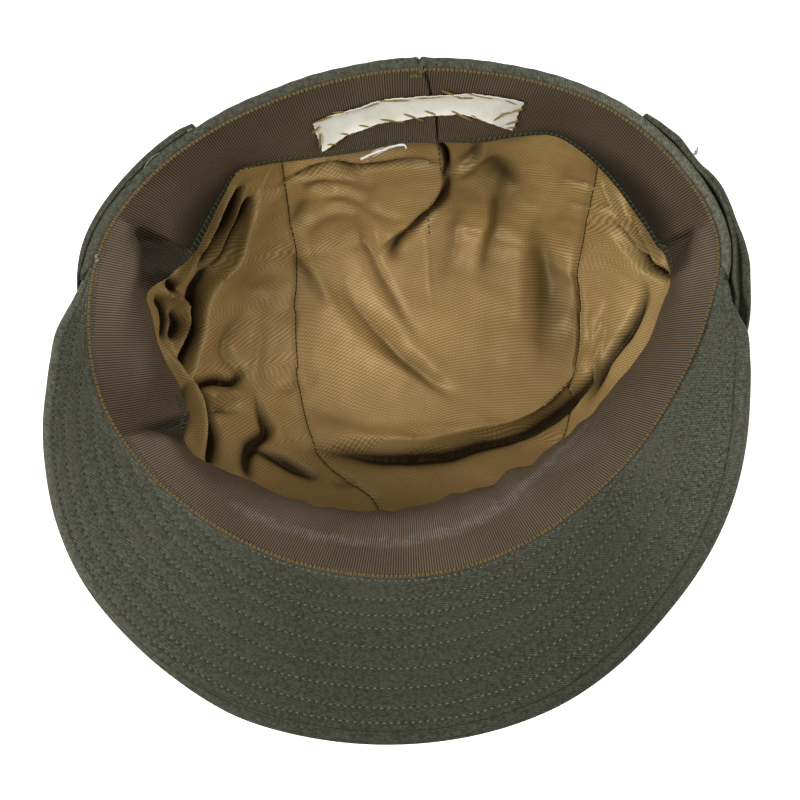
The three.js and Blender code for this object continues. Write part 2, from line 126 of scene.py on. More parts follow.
# Sweatband: how far it lies inside the stitch line 6, 13, 24 and 38 mm down.
# It leans in like a cone at the back, rolls under at the front, and buckles
# beside both corners of the peak and at the left front.
RIBBON = table(
    ("angle", "near", "upper", "middle", "edge"),
    (-180, 2.7, 5.8, 10.9, 17.2), (-165, 2.8, 6.1, 11.2, 17.8), (-150, 2.4, 5.2, 9.6, 15.0),
    (-138, 1.8, 3.9, 7.0, 10.6), (-133, 1.7, 3.7, 6.6, 9.7), (-127, 2.3, 5.0, 9.2, 14.0),
    (-120, 2.9, 6.4, 11.8, 18.6), (-114, 3.3, 7.2, 13.4, 21.8), (-111.2, 3.4, 7.4, 13.8, 22.9),
    (-110.3, 3.8, 6.8, 13.2, 23.1), (-109.7, 5.0, 5.6, 10.8, 23.3), (-108.6, 5.7, 6.2, 7.6, 23.4),
    (-107, 6.1, 8.8, 6.8, 23.2), (-105.4, 6.3, 10.9, 7.6, 22.6), (-102.4, 6.2, 12.8, 10.4, 20.4),
    (-100, 6.0, 13.4, 12.2, 16.0), (-97.6, 5.8, 12.8, 13.8, 14.2), (-93, 5.4, 11.8, 17.2, 16.2),
    (-85, 5.0, 10.8, 18.6, 19.6), (-80, 4.6, 9.8, 18.0, 21.6), (-76, 3.9, 8.4, 15.8, 22.6),
    (-73, 3.3, 6.6, 13.6, 22.0), (-70, 3.2, 6.0, 12.6, 21.6), (-68.6, 3.4, 6.4, 12.0, 20.8),
    (-67.8, 4.4, 7.0, 10.4, 20.0), (-66.8, 5.8, 9.2, 8.4, 18.6), (-64.4, 6.0, 12.0, 10.4, 15.2),
    (-61, 5.6, 12.0, 12.8, 13.6), (-57, 5.3, 11.2, 13.8, 14.0),
    (-47, 4.8, 10.4, 16.8, 17.4), (-36, 4.7, 10.2, 17.4, 18.8), (-26, 4.7, 10.2, 17.8, 19.4),
    (-8, 4.8, 10.4, 18.4, 20.8), (5, 4.9, 10.6, 19.0, 22.2), (12, 5.0, 10.8, 19.4, 23.2),
    (20, 5.0, 10.8, 19.4, 23.2), (26, 4.9, 10.6, 18.8, 21.6), (30, 4.8, 10.4, 18.2, 21.0),
    (35, 4.9, 10.6, 18.8, 22.6), (39, 4.8, 10.4, 18.2, 21.2), (43.7, 4.6, 10.0, 17.4, 19.8),
    (50, 4.6, 9.8, 17.2, 20.0), (60, 4.5, 9.6, 16.4, 18.7), (71, 4.4, 9.4, 15.6, 17.0),
    (77, 4.4, 9.2, 14.8, 16.2), (87, 4.4, 9.0, 13.2, 13.4), (96, 4.8, 10.0, 13.2, 12.6),
    (100, 5.2, 10.9, 11.2, 11.6), (103, 5.6, 10.0, 8.2, 12.0), (105.6, 5.8, 7.8, 5.4, 12.8),
    (107.1, 5.3, 5.4, 4.8, 13.2), (107.9, 4.6, 4.6, 5.0, 13.4), (108.5, 3.2, 4.6, 7.2, 13.8),
    (109.3, 2.6, 4.9, 8.8, 14.0), (112.4, 2.3, 4.9, 9.0, 14.2),
    (118.8, 2.2, 4.8, 8.8, 13.8), (128, 1.8, 4.0, 7.4, 11.7), (136, 1.5, 3.2, 6.0, 9.4),
    (143.3, 1.3, 2.8, 5.2, 8.2), (150, 1.8, 3.9, 7.4, 12.0), (158, 2.6, 5.6, 10.4, 16.4),
    (169, 2.7, 5.8, 10.8, 17.3))
RIBBON_STATIONS = np.array([0.0, 6.0, 13.0, 24.0, RIBBON_WIDTH])

# Peak: depth in plan, rise in degrees, and the top cover's roll over the edge.
PEAK = table(
    ("angle", "reach", "slope", "roll"),
    (-99.7, 3.2, 14, 0.2), (-96, 4.6, 36, 0.2), (-93, 6.4, 48, 0.2), (-90, 8.1, 54, 0.2),
    (-85, 10.1, 55, 0.2), (-80, 13.0, 53, 0.2), (-70, 20.8, 49, 0.2), (-60, 29.4, 45, 0.4),
    (-50, 36.7, 41, 0.8), (-40, 41.6, 38, 1.2), (-30, 45.5, 35, 2.0),
    (-20, 48.4, 32, 2.6), (0, 48.9, 31, 2.7), (20, 47.1, 32, 2.9), (30, 44.1, 35, 3.1),
    (40, 39.7, 38, 3.4), (50, 35.4, 41, 3.7), (60, 30.0, 45, 4.0), (70, 23.7, 49, 4.2),
    (80, 16.9, 53, 4.2), (85, 13.5, 55, 3.6), (90, 10.6, 54, 2.4), (93, 8.4, 48, 1.2),
    (96, 6.2, 36, 0.5), (99.7, 4.0, 14, 0.2))

# Cuff: how far its two plies stand off the side band at the rim.
CUFF = table(
    ("angle", "inner", "outer"),
    (-133, 0.0, 0.2), (-130, 0.1, 0.5), (-120, 0.1, 0.45), (-113, 0.1, 0.35), (-108, 0.1, 0.2),
    (-98, 0.05, 0.1), (-90, 0.1, 0.2), (-80, 0.3, 0.8), (0, 0.4, 1.2), (75, 0.6, 2.2), (84, 2.6, 7.2),
    (87, 4.2, 8.2), (90, 3.9, 7.8), (93.5, 3.0, 6.6), (95, 2.3, 5.9), (97.5, 1.0, 4.9), (99.3, 0.6, 4.4),
    (103.5, 0.5, 2.6), (106.7, 0.6, 1.5), (110, 1.1, 1.6), (113.4, 1.2, 1.9), (116, 0.7, 1.4),
    (118, 0.3, 0.5), (121, 0.3, 0.5), (124, 0.6, 1.0), (126.5, 0.3, 0.5), (131, 0.1, 0.2))
CUFF_START = -133.0
CUFF_END = 131.0
CUFF_TOP = 82.6
CUFF_FOOT = 42.0
CUFF_SEAT = (-98.5, -94.0)   # the cuff goes down behind the peak

# Seams between the three panels of crown and lining, as half the width of the
# centre panel at places front to back; it narrows to a tongue above the peak.
CENTRE_PANEL = table(
    ("back", "half_width"),
    (-96, 18), (-70, 20), (-60, 23), (-54, 31), (-48, 39), (-38, 46), (-28, 49), (0, 51), (30, 52),
    (60, 55.5), (96, 58))


# ---------------------------------------------------------------------------
# Interpolation and the surfaces of the cap
# ---------------------------------------------------------------------------

def hermite(t, span, start, end, start_slope, end_slope):
    """Cubic from start to end over a span, at a share t of it."""
    return ((2 * t ** 3 - 3 * t ** 2 + 1) * start + (t ** 3 - 2 * t ** 2 + t) * start_slope * span
            + (3 * t ** 2 - 2 * t ** 3) * end + (t ** 3 - t ** 2) * end_slope * span)


def through(keys, values, key):
    """Smooth curve through values at rising keys, read at one key or many."""
    key = np.asarray(key, float)
    before = np.r_[keys[0], keys[:-1]]
    after = np.r_[keys[1:], keys[-1]]
    slopes = (np.r_[values[1:], values[-1]] - np.r_[values[0], values[:-1]]) / (after - before)
    i = np.clip(np.searchsorted(keys, key, side="right") - 1, 0, len(keys) - 2)
    span = keys[i + 1] - keys[i]
    t = np.clip((key - keys[i]) / span, 0.0, 1.0)
    return hermite(t, span, values[i], values[i + 1], slopes[i], slopes[i + 1])


def smooth(rows, column, key, closed=False):
    """Smooth value of a table's column, read by the table's first column.

    A closed table goes round the head and joins its last row to its first.
    """
    keys = next(iter(rows.values()))
    values = rows[column]
    if closed:
        key = (np.asarray(key, float) + 180.0) % 360.0 - 180.0
        keys = np.concatenate([keys - 360.0, keys, keys + 360.0])
        values = np.tile(values, 3)
    return through(keys, values, key)


def smoothstep(low, high, value):
    """0 before low and 1 past high, with a smooth rise between."""
    t = np.clip((np.asarray(value, float) - low) / (high - low), 0.0, 1.0)
    return t * t * (3.0 - 2.0 * t)


def bell(offset, width):
    """1 at no offset, falling to nothing a few widths away on both sides."""
    return np.exp(-(offset / width) ** 2)


def unit(vectors):
    """Vectors made one long, along the last axis."""
    return vectors / np.maximum(np.linalg.norm(vectors, axis=-1, keepdims=True), 1e-9)


def square_to(directions, vectors):
    """Unit vectors turned square to directions, as little as possible."""
    directions = unit(directions)
    return unit(vectors - directions * np.sum(vectors * directions, axis=-1, keepdims=True))


def arc_lengths(points, axis=0):
    """Length along a path, or along an axis of a grid, up to each point."""
    steps = np.linalg.norm(np.diff(points, axis=axis), axis=-1)
    return np.insert(np.cumsum(steps, axis=axis), 0, 0.0, axis=axis)


def along_path(places, lengths, values):
    """Values given at the points of a path, read at places along its length."""
    return np.stack([np.interp(places, lengths, column) for column in values.T], axis=-1)


def smooth_line(points, count):
    """Evenly spaced points along a smooth line through given points."""
    points = np.array(points, float)
    lengths = arc_lengths(points)
    places = np.linspace(0.0, lengths[-1], count)
    return np.stack([through(lengths, column, places) for column in points.T], axis=-1)


def cloth_measure(along, down):
    """The cloth's own measure at each point of a grid, from its two directions."""
    return np.stack(np.broadcast_arrays(along, down), axis=-1)


def stack_rows(columns, *rows):
    """One block of numbers, single rows and blocks of rows, each a number of columns wide."""
    return np.vstack([np.broadcast_to(row, (len(row) if np.ndim(row) == 2 else 1, columns)) for row in rows])


def outward(angle):
    """Level unit vectors that point away from the head axis."""
    turn = np.radians(angle)
    return np.stack([np.sin(turn), -np.cos(turn), np.zeros_like(turn)], axis=-1)


def angle_of(places):
    """Angle round the head axis of places right of and behind it."""
    return np.degrees(np.arctan2(places[..., 0], -places[..., 1]))


def stitch_radius(angle):
    return smooth(STITCH_LINE, "radius", angle, closed=True)


def flat_radius(angle):
    across = np.abs(np.sin(np.radians(angle)) / FLAT_HALF[0]) ** FLAT_SQUARENESS
    along = np.abs(np.cos(np.radians(angle)) / FLAT_HALF[1]) ** FLAT_SQUARENESS
    return (across + along) ** (-1.0 / FLAT_SQUARENESS)


def shell_radius(angle, station, reach):
    """How far the crown and side band lie from their leaning axis."""
    share = np.clip(station / FLAT_STATION, 0.0, 1.0)
    return share * (flat_radius(angle) * (1 - reach) + (stitch_radius(angle) + RIM_ROLL) * reach)


def shell_point(angle, station):
    """Points on the outside of the crown and side band."""
    angle, station = np.broadcast_arrays(np.asarray(angle, float), np.asarray(station, float))
    reach = np.maximum(smooth(WALL, "reach", station), 0.0)
    points = outward(angle) * shell_radius(angle, station, reach)[..., None]
    points[..., :2] += np.array(FLAT_CENTRE) * (1 - reach)[..., None]
    points[..., 2] = np.maximum(smooth(WALL, "height", station), 0.0)
    return points


def disc_point(disc):
    """Points of the shell from places on the flat disc that it unrolls to."""
    return shell_point(angle_of(disc), np.hypot(disc[..., 0], disc[..., 1]))


def eased_point(disc):
    """Points of the shell with its corners eased, as loose cloth spans them."""
    total = disc_point(disc)
    turns = np.radians(np.arange(0.0, 360.0, 45.0))
    for reach in (4.5, 9.0):
        for turn in turns:
            total = total + disc_point(disc + reach * np.array([math.cos(turn), math.sin(turn)]))
    return total / (1 + 2 * len(turns))


def grid_normals(points):
    """Unit normals of a grid of points, rows by columns."""
    return unit(np.cross(np.gradient(points, axis=1), np.gradient(points, axis=0)))


# ---------------------------------------------------------------------------
# Making meshes
# ---------------------------------------------------------------------------

def deselect():
    bpy.ops.object.select_all(action="DESELECT")


def activate(piece):
    deselect()
    piece.select_set(True)
    bpy.context.view_layer.objects.active = piece


def cloth_sheet(name, points, uv, closed=False, **marks):
    """A grid laid on points, rows by columns, in millimetres.

    uv is the cloth's own measure in millimetres at each point, for weaves.
    A closed sheet repeats its first column as its last.  Marks are values at
    each point, or for each column, that a material reads, such as wear.
    """
    rows, columns = points.shape[:2]
    deselect()
    bpy.ops.mesh.primitive_grid_add(x_subdivisions=columns - 1, y_subdivisions=rows - 1, size=1)
    piece = bpy.context.object
    piece.name = name
    piece.data.name = name
    mesh = piece.data
    mesh.vertices.foreach_set("co", (points * MM).astype(np.float32).ravel())
    corner_vertex = np.empty(len(mesh.loops), np.int32)
    mesh.loops.foreach_get("vertex_index", corner_vertex)
    flat_uv = (uv * MM).reshape(-1, 2)[corner_vertex]
    mesh.uv_layers.active.data.foreach_set("uv", flat_uv.astype(np.float32).ravel())
    for mark, values in marks.items():
        attribute = mesh.attributes.new(mark, "FLOAT", "POINT")
        everywhere = np.broadcast_to(values, (rows, columns))
        attribute.data.foreach_set("value", everywhere.astype(np.float32).ravel())
    mesh.update()
    if closed:
        bpy.ops.object.mode_set(mode="EDIT")
        bpy.ops.mesh.select_all(action="SELECT")
        bpy.ops.mesh.remove_doubles(threshold=1e-6)
        bpy.ops.object.mode_set(mode="OBJECT")
    return piece


def shade_smooth(piece):
    activate(piece)
    bpy.ops.object.shade_smooth_by_angle(angle=math.radians(60))


def finish_piece(piece, slot, material, *nodes):
    """Gives a piece its material and its place in the frame."""
    piece.data.materials.clear()
    piece.data.materials.append(material)
    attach(piece, "root")
    if nodes:
        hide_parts(*nodes)


def cloth_piece(name, points, uv, thickness, slot, material, solid_node, closed=False, **marks):
    """A sheet with its thickness behind its visible face, in place of a solid."""
    piece = cloth_sheet(name, points, uv, closed, **marks)
    solidify = piece.modifiers.new("thickness", "SOLIDIFY")
    solidify.thickness = thickness * MM
    solidify.offset = -1.0
    solidify.use_even_offset = False
    activate(piece)
    bpy.ops.object.modifier_apply(modifier=solidify.name)
    shade_smooth(piece)
    finish_piece(piece, slot, material, solid_node)


def thread_bead():
    """Corner points and faces of one short round stitch, 1 long and 1 thick."""
    deselect()
    bpy.ops.mesh.primitive_uv_sphere_add(segments=6, ring_count=4, radius=0.5)
    bead = bpy.context.object
    points = np.array([vertex.co[:] for vertex in bead.data.vertices])
    points = points[:, [2, 0, 1]]
    faces = [tuple(face.vertices) for face in bead.data.polygons]
    bpy.data.objects.remove(bead, do_unlink=True)
    return points, faces


def stitches(name, centres, tangents, normals, size):
    """One mesh of many stitches, each lying along its tangent on its cloth.

    The size is a stitch's length, width and height; the length may differ.
    """
    length, width, height = size
    bead, faces = thread_bead()
    sides = unit(np.cross(normals, tangents))
    ups = np.cross(tangents, sides)
    lengths = np.broadcast_to(np.asarray(length, float), (len(centres),))
    points = (centres[:, None]
              + bead[None, :, 0:1] * (lengths[:, None, None] * tangents[:, None])
              + bead[None, :, 1:2] * width * sides[:, None]
              + bead[None, :, 2:3] * height * ups[:, None])
    count = len(bead)
    all_faces = [tuple(i + k * count for i in face) for k in range(len(centres)) for face in faces]
    mesh = bpy.data.meshes.new(name)
    mesh.from_pydata((points.reshape(-1, 3) * MM).tolist(), [], all_faces)
    mesh.update()
    piece = bpy.data.objects.new(name, mesh)
    bpy.context.collection.objects.link(piece)
    shade_smooth(piece)
    return piece


def path_normals(path, towards):
    """Normals of a path that lean to a wanted direction at each point."""
    return square_to(np.gradient(path, axis=0), np.broadcast_to(towards, path.shape))


def stitch_row(name, path, normals, pitch, size, sink=0.0, slant=0.0):
    """A row of stitches along a path; slant turns each one about its normal."""
    lengths = arc_lengths(path)
    count = max(2, int(round(lengths[-1] / pitch)))
    places = (np.arange(count) + 0.5) * lengths[-1] / count
    behind, centres, ahead = (along_path(places + step, lengths, path) for step in (-0.2, 0.0, 0.2))
    ups = unit(along_path(places, lengths, normals))
    tangents = square_to(ups, unit(ahead - behind))
    turn = math.radians(slant)
    tangents = tangents * math.cos(turn) + np.cross(ups, tangents) * math.sin(turn)
    return stitches(name, centres - ups * sink, tangents, ups, size)


def join(name, *pieces):
    deselect()
    for piece in pieces:
        piece.select_set(True)
    bpy.context.view_layer.objects.active = pieces[0]
    bpy.ops.object.join()
    pieces[0].name = name
    pieces[0].data.name = name
    return pieces[0]


# ---------------------------------------------------------------------------
# Materials
# ---------------------------------------------------------------------------

def srgb(hex_colour):
    """A linear colour with alpha from an sRGB hex value."""
    channels = [int(hex_colour[i:i + 2], 16) / 255 for i in (1, 3, 5)]
    linear = [c / 12.92 if c <= 0.04045 else ((c + 0.055) / 1.055) ** 2.4 for c in channels]
    return (*linear, 1.0)


def node(material, kind, inputs=None, **settings):
    """Adds a shader node; an input is a value, or another node's output to link."""
    made = material.node_tree.nodes.new("ShaderNode" + kind)
    for key, value in settings.items():
        setattr(made, key, value)
    for key, value in (inputs or {}).items():
        if isinstance(value, bpy.types.NodeSocket):
            material.node_tree.links.new(value, made.inputs[key])
        else:
            made.inputs[key].default_value = value
    return made


def new_material(name):
    material = bpy.data.materials.new(name)
    material.use_nodes = True
    material.node_tree.nodes.clear()
    return material


def band_scale(pitch):
    """Scale of a sine Wave texture whose bands lie a pitch apart, in millimetres."""
    return math.pi / (10.0 * pitch * MM)


def lay_over(material, colour, *layers):
    """Lays colours over a first one.

    Each layer has a mask, the range of it that counts, how much the layer
    covers at both ends of that range, and its colour.
    """
    for mask, (low, high), (cover_low, cover_high), tint in layers:
        cover = node(material, "MapRange", {"Value": mask, "From Min": low, "From Max": high,
                                            "To Min": cover_low, "To Max": cover_high})
        mixed = node(material, "Mix", {0: cover.outputs[0], 6: colour, 7: srgb(tint)}, data_type="RGBA")
        colour = mixed.outputs[2]
    return colour


def surface(material, heights, strength, distance, inputs):
    """Ends a material with its relief, its shader's inputs and the output."""
    bump = node(material, "Bump", {"Height": heights, "Strength": strength, "Distance": distance * MM})
    shader = node(material, "BsdfPrincipled", {**inputs, "Normal": bump.outputs[0]})
    node(material, "OutputMaterial", {"Surface": shader.outputs[0]})
    return material


WHOLE = (0.0, 1.0)

# Pitch of each weave in millimetres.  The real weaves are finer, too fine to
# show, so these are drawn coarser than the real ones, as far as they need to be.
WOOL_RIB = 0.8
RIBBON_RIB = 0.84
LINING_LINE = 0.92
LINING_CROSS = 0.7
TAPE_WARP = 0.55
TAPE_WEFT = 0.5


def wool_twill(name, dark, light, fleck, relief, turn):
    """Milled wool-and-cotton twill: matt and slightly hairy, mottled where grey
    and green fibres mix, with faint slanting ribs, and paler where painted light brightens it."""
    material = new_material(name)
    cloth = node(material, "UVMap").outputs[0]
    turned = node(material, "Mapping", {"Vector": cloth, "Rotation": (0, 0, math.radians(turn))}).outputs[0]
    ribs = node(material, "TexWave", {"Vector": turned, "Scale": band_scale(WOOL_RIB), "Distortion": 2.2,
                                      "Detail": 2.0, "Detail Scale": 1.6}, bands_direction="Y").outputs["Fac"]
    place = node(material, "TexCoord").outputs["Object"]
    heather = node(material, "TexNoise", {"Vector": place, "Scale": 900.0, "Detail": 3.0,
                                          "Roughness": 0.65}).outputs[0]
    patches = node(material, "TexNoise", {"Vector": place, "Scale": 45.0, "Detail": 4.0,
                                          "Roughness": 0.6}).outputs[0]
    mottle = node(material, "ValToRGB", {"Fac": heather})
    for element, position, tint in zip(mottle.color_ramp.elements, (0.34, 0.68), (dark, light)):
        element.position = position
        element.color = srgb(tint)
    worn = lay_over(material, mottle.outputs[0], (ribs, WHOLE, (relief, 0.0), dark),
                    (patches, (0.45, 0.75), (0.0, 0.5), fleck))
    # Painted light: the attribute brightens the wool where more light falls on it, by dividing its colour by
    # a grey.
    faded = node(material, "Attribute", attribute_name="faded").outputs["Fac"]
    lighter = node(material, "Mix", {0: faded, 6: worn, 7: srgb("#b9b9b8")}, data_type="RGBA",
                   blend_type="DIVIDE").outputs[2]
    relief_height = node(material, "Math", {0: ribs, 1: heather}, operation="ADD").outputs[0]
    return surface(material, relief_height, 0.4, 0.15, {
        "Base Color": lighter, "Roughness": 0.92, "Specular IOR Level": 0.2, "Sheen Weight": 0.08,
        "Sheen Roughness": 0.6, "Sheen Tint": srgb("#b9bba0")})


def grosgrain():
    """Ribbed rayon-and-cotton ribbon: close cross ribs, brown on their crests
    and nearly black between.  It is greyed where worn, whitish where rubbed,
    and painted shade darkens it where it is tucked into folds and low at the back."""
    material = new_material("ribbed_grosgrain_ribbon")
    cloth = node(material, "UVMap").outputs[0]
    ribs = node(material, "TexWave", {"Vector": cloth, "Scale": band_scale(RIBBON_RIB), "Distortion": 0.5,
                                      "Detail": 1.0, "Detail Scale": 0.6}, bands_direction="X").outputs["Fac"]
    place = node(material, "TexCoord").outputs["Object"]
    fibres, stain, rubs = (
        node(material, "TexNoise", {"Vector": place, "Scale": scale, "Detail": detail,
                                    "Roughness": roughness}).outputs[0]
        for scale, detail, roughness in ((1500.0, 2.0, 0.5), (38.0, 5.0, 0.6), (320.0, 6.0, 0.8)))
    wear, rubbed, unfaded = (node(material, "Attribute", attribute_name=mark).outputs["Fac"]
                             for mark in ("wear", "rubbed", "unfaded"))
    greyed, whitened = (node(material, "Math", {0: mark, 1: noise}, operation="MULTIPLY").outputs[0]
                        for mark, noise in ((wear, stain), (rubbed, rubs)))
    groove = node(material, "MapRange", {"Value": ribs, "From Min": 0.05, "From Max": 0.9,
                                         "To Min": 0.85, "To Max": 0.0}).outputs[0]
    # Painted shade where the ribbon is tucked away, added to the dark between the ribs.
    deep = node(material, "Math", {0: unfaded, 1: 0.52, 2: groove}, operation="MULTIPLY_ADD",
                use_clamp=True).outputs[0]
    colour = lay_over(material, srgb("#5b4c39"), (stain, (0.35, 0.68), WHOLE, "#695844"),
                      (greyed, (0.2, 0.7), (0.0, 0.35), "#716a63"),
                      (whitened, (0.34, 0.72), (0.0, 0.55), "#98918a"), (deep, WHOLE, WHOLE, "#17150f"))
    height = node(material, "Math", {0: fibres, 1: 0.25, 2: ribs}, operation="MULTIPLY_ADD").outputs[0]
    return surface(material, height, 0.8, 0.2, {
        "Base Color": colour, "Roughness": 0.62, "Specular IOR Level": 0.25, "Sheen Weight": 0.05,
        "Sheen Tint": srgb("#a79b90")})


def satin_twill():
    """Rayon lining twill: a soft golden-brown gloss that brightens along the
    folds, fine slanting lines that bend with the cloth, a painted highlight
    that pales it, and painted shade, with less gloss, down in the folds and in shaded patches."""
    material = new_material("rayon_lining_twill")
    cloth = node(material, "UVMap").outputs[0]
    turned = node(material, "Mapping", {"Vector": cloth, "Rotation": (0, 0, math.radians(-16))}).outputs[0]
    lines = node(material, "TexWave", {
        "Vector": turned, "Scale": band_scale(LINING_LINE), "Distortion": 0.9, "Detail": 2.0,
        "Detail Scale": 0.5}, bands_direction="Y").outputs["Fac"]
    weft = node(material, "TexWave", {"Vector": turned, "Scale": band_scale(LINING_CROSS), "Distortion": 0.8,
                                      "Detail": 1.0}, bands_direction="DIAGONAL").outputs["Fac"]
    place = node(material, "TexCoord").outputs["Object"]
    stain = node(material, "TexNoise", {"Vector": place, "Scale": 30.0, "Detail": 4.0,
                                        "Roughness": 0.6}).outputs[0]
    slub = node(material, "TexNoise", {"Vector": place, "Scale": 1200.0, "Detail": 2.0}).outputs[0]
    faded, soil = (node(material, "Attribute", attribute_name=mark).outputs["Fac"]
                   for mark in ("faded", "soil"))
    # Painted highlight: the pale gold layer brightens the lining where light falls on its right side.
    colour = lay_over(material, srgb("#aa8c55"), (stain, (0.35, 0.7), WHOLE, "#937748"),
                      (faded, WHOLE, WHOLE, "#ccaf72"), (lines, WHOLE, (0.6, 0.0), "#513f25"),
                      (weft, WHOLE, (0.42, 0.0), "#57462a"), (soil, (0.1, 0.7), (0.0, 0.97), "#1d150c"))
    # Painted shade: the near-black layer above darkens the folds and the shaded patches, and the gloss drops
    # there with it.
    gloss = node(material, "MapRange", {"Value": soil, "To Min": 0.7, "To Max": 0.1}).outputs[0]
    warp_way = node(material, "Tangent", direction_type="UV_MAP", uv_map="UVMap").outputs[0]
    height = node(material, "Math", {0: slub, 1: 0.3, 2: lines}, operation="MULTIPLY_ADD").outputs[0]
    return surface(material, height, 0.32, 0.12, {
        "Base Color": colour, "Roughness": 0.48, "Specular IOR Level": gloss,
        "Specular Tint": srgb("#ffdcae"), "Anisotropic": 0.4, "Tangent": warp_way})


def cotton_tape():
    """Plain-weave cotton tape: chalky cream with faint threads and handling marks."""
    material = new_material("plain_cotton_tape")
    cloth = node(material, "UVMap").outputs[0]
    warp, weft = (node(material, "TexWave", {"Vector": cloth, "Scale": band_scale(pitch), "Distortion": 1.0},
                       bands_direction=way).outputs["Fac"]
                  for pitch, way in ((TAPE_WARP, "X"), (TAPE_WEFT, "Y")))
    threads = node(material, "Math", {0: warp, 1: weft}, operation="MULTIPLY").outputs[0]
    place = node(material, "TexCoord").outputs["Object"]
    marks = node(material, "TexNoise", {"Vector": place, "Scale": 90.0, "Detail": 4.0,
                                        "Roughness": 0.6}).outputs[0]
    colour = lay_over(material, srgb("#e1e2d5"), (marks, (0.42, 0.72), WHOLE, "#cdcab9"),
                      (threads, WHOLE, (0.22, 0.0), "#a5977f"))
    return surface(material, threads, 0.35, 0.12, {
        "Base Color": colour, "Roughness": 0.9, "Specular IOR Level": 0.2, "Sheen Weight": 0.1})


def spun_thread(name, light, dark):
    """Spun sewing thread: twisted fibres that shade from light to dark along it."""
    material = new_material(name)
    place = node(material, "TexCoord").outputs["Object"]
    twist = node(material, "TexNoise", {"Vector": place, "Scale": 1400.0, "Detail": 2.0}).outputs[0]
    colour = lay_over(material, srgb(dark), (twist, WHOLE, WHOLE, light))
    return surface(material, twist, 0.4, 0.1, {
        "Base Color": colour, "Roughness": 0.8, "Specular IOR Level": 0.2, "Sheen Weight": 0.03})


WOOL = wool_twill("field_grey_wool_twill", "#302d26", "#595d4b", "#47463a", 0.7, 58.0)
PEAK_WOOL = wool_twill("peak_wool_twill", "#24211a", "#474b40", "#38372c", 0.75, 12.0)
RIBBON_CLOTH = grosgrain()
LINING_CLOTH = satin_twill()
TAPE_CLOTH = cotton_tape()
GOLD_THREAD = spun_thread("golden_olive_thread", "#756439", "#2b230f")
GREEN_THREAD = spun_thread("dark_green_thread", "#535a3e", "#22261a")
OLIVE_THREAD = spun_thread("pale_olive_thread", "#70765a", "#474b37")
# Stitches of the lining's seams and dart whose near-black colour is painted shade of their grooves.
SEAM_SHADE = spun_thread("shadowed_needle_hole", "#23251c", "#15160f")
# Painted shade: dark marks that stand for the shaded needle holes between quilting stitches.
NEEDLE_HOLE_SHADE = spun_thread("painted_needle_hole_shade", "#282a20", "#1d1f17")
TAN_THREAD = spun_thread("tan_hand_thread", "#9a8046", "#5d4c26")
TACK_THREAD = spun_thread("light_green_tack_thread", "#76805c", "#4d5840")
KNOT_THREAD = spun_thread("moss_knot_thread", "#6b6a3c", "#3c3b20")
FRAY_THREAD = spun_thread("dusty_wool_end", "#a3a286", "#70705a")
COTTON_THREAD = spun_thread("bleached_cotton_thread", "#e9e7e2", "#c9c6be")


# ---------------------------------------------------------------------------
# Sweatband
# ---------------------------------------------------------------------------

def ribbon_grid(angles, downs):
    """Points of the sweatband, rows down its width and columns round the head."""
    keys = RIBBON_STATIONS
    values = np.stack([np.zeros_like(angles)] + [
        smooth(RIBBON, name, angles, closed=True) for name in ("near", "upper", "middle", "edge")])
    slopes = np.gradient(values, keys, axis=0)
    fine = np.linspace(0.0, RIBBON_WIDTH, 77)
    i = np.clip(np.searchsorted(keys, fine, side="right") - 1, 0, len(keys) - 2)
    span = (keys[i + 1] - keys[i])[:, None]
    t = (fine - keys[i])[:, None] / span
    inset = hermite(t, span, values[i], values[i + 1], slopes[i], slopes[i + 1])
    lean = np.clip(np.gradient(inset, fine, axis=0), -0.97, 0.97)
    fall = np.sqrt(1.0 - lean ** 2)
    steps = np.cumsum((fall[1:] + fall[:-1]) / 2 * (fine[1] - fine[0]), axis=0)
    depth = np.vstack([np.zeros(len(angles)), steps])
    inset_at, depth_at = (np.stack([np.interp(downs, fine, column) for column in block.T], axis=1)
                          for block in (inset, depth))
    above = np.minimum(downs, 0.0)[:, None]
    points = outward(angles) * (stitch_radius(angles) - inset_at - above)[..., None]
    points[..., 2] = RIM_HEIGHT + RIBBON_LIFT - depth_at + above * 0.25
    return points


def round_the_head(columns):
    return np.linspace(-180.0, 180.0, columns + 1)


def ribbon_seam(downs):
    """Angle of the sweatband's joint at the back, which slants down its width."""
    return np.interp(downs, [0.0, 6.0, 12.0, 22.4, 38.0], [176.0, 174.8, 174.0, 172.0, 170.6])


def inside_fold(angles, downs, start, end, top):
    """1 where the sweatband dips into a buckle, and 0 outside it."""
    across = smoothstep(start - 1.0, start + 1.0, angles) * smoothstep(end + 1.5, end - 2.5, angles)
    return across * smoothstep(top - 2.0, top + 3.0, downs)[:, None]


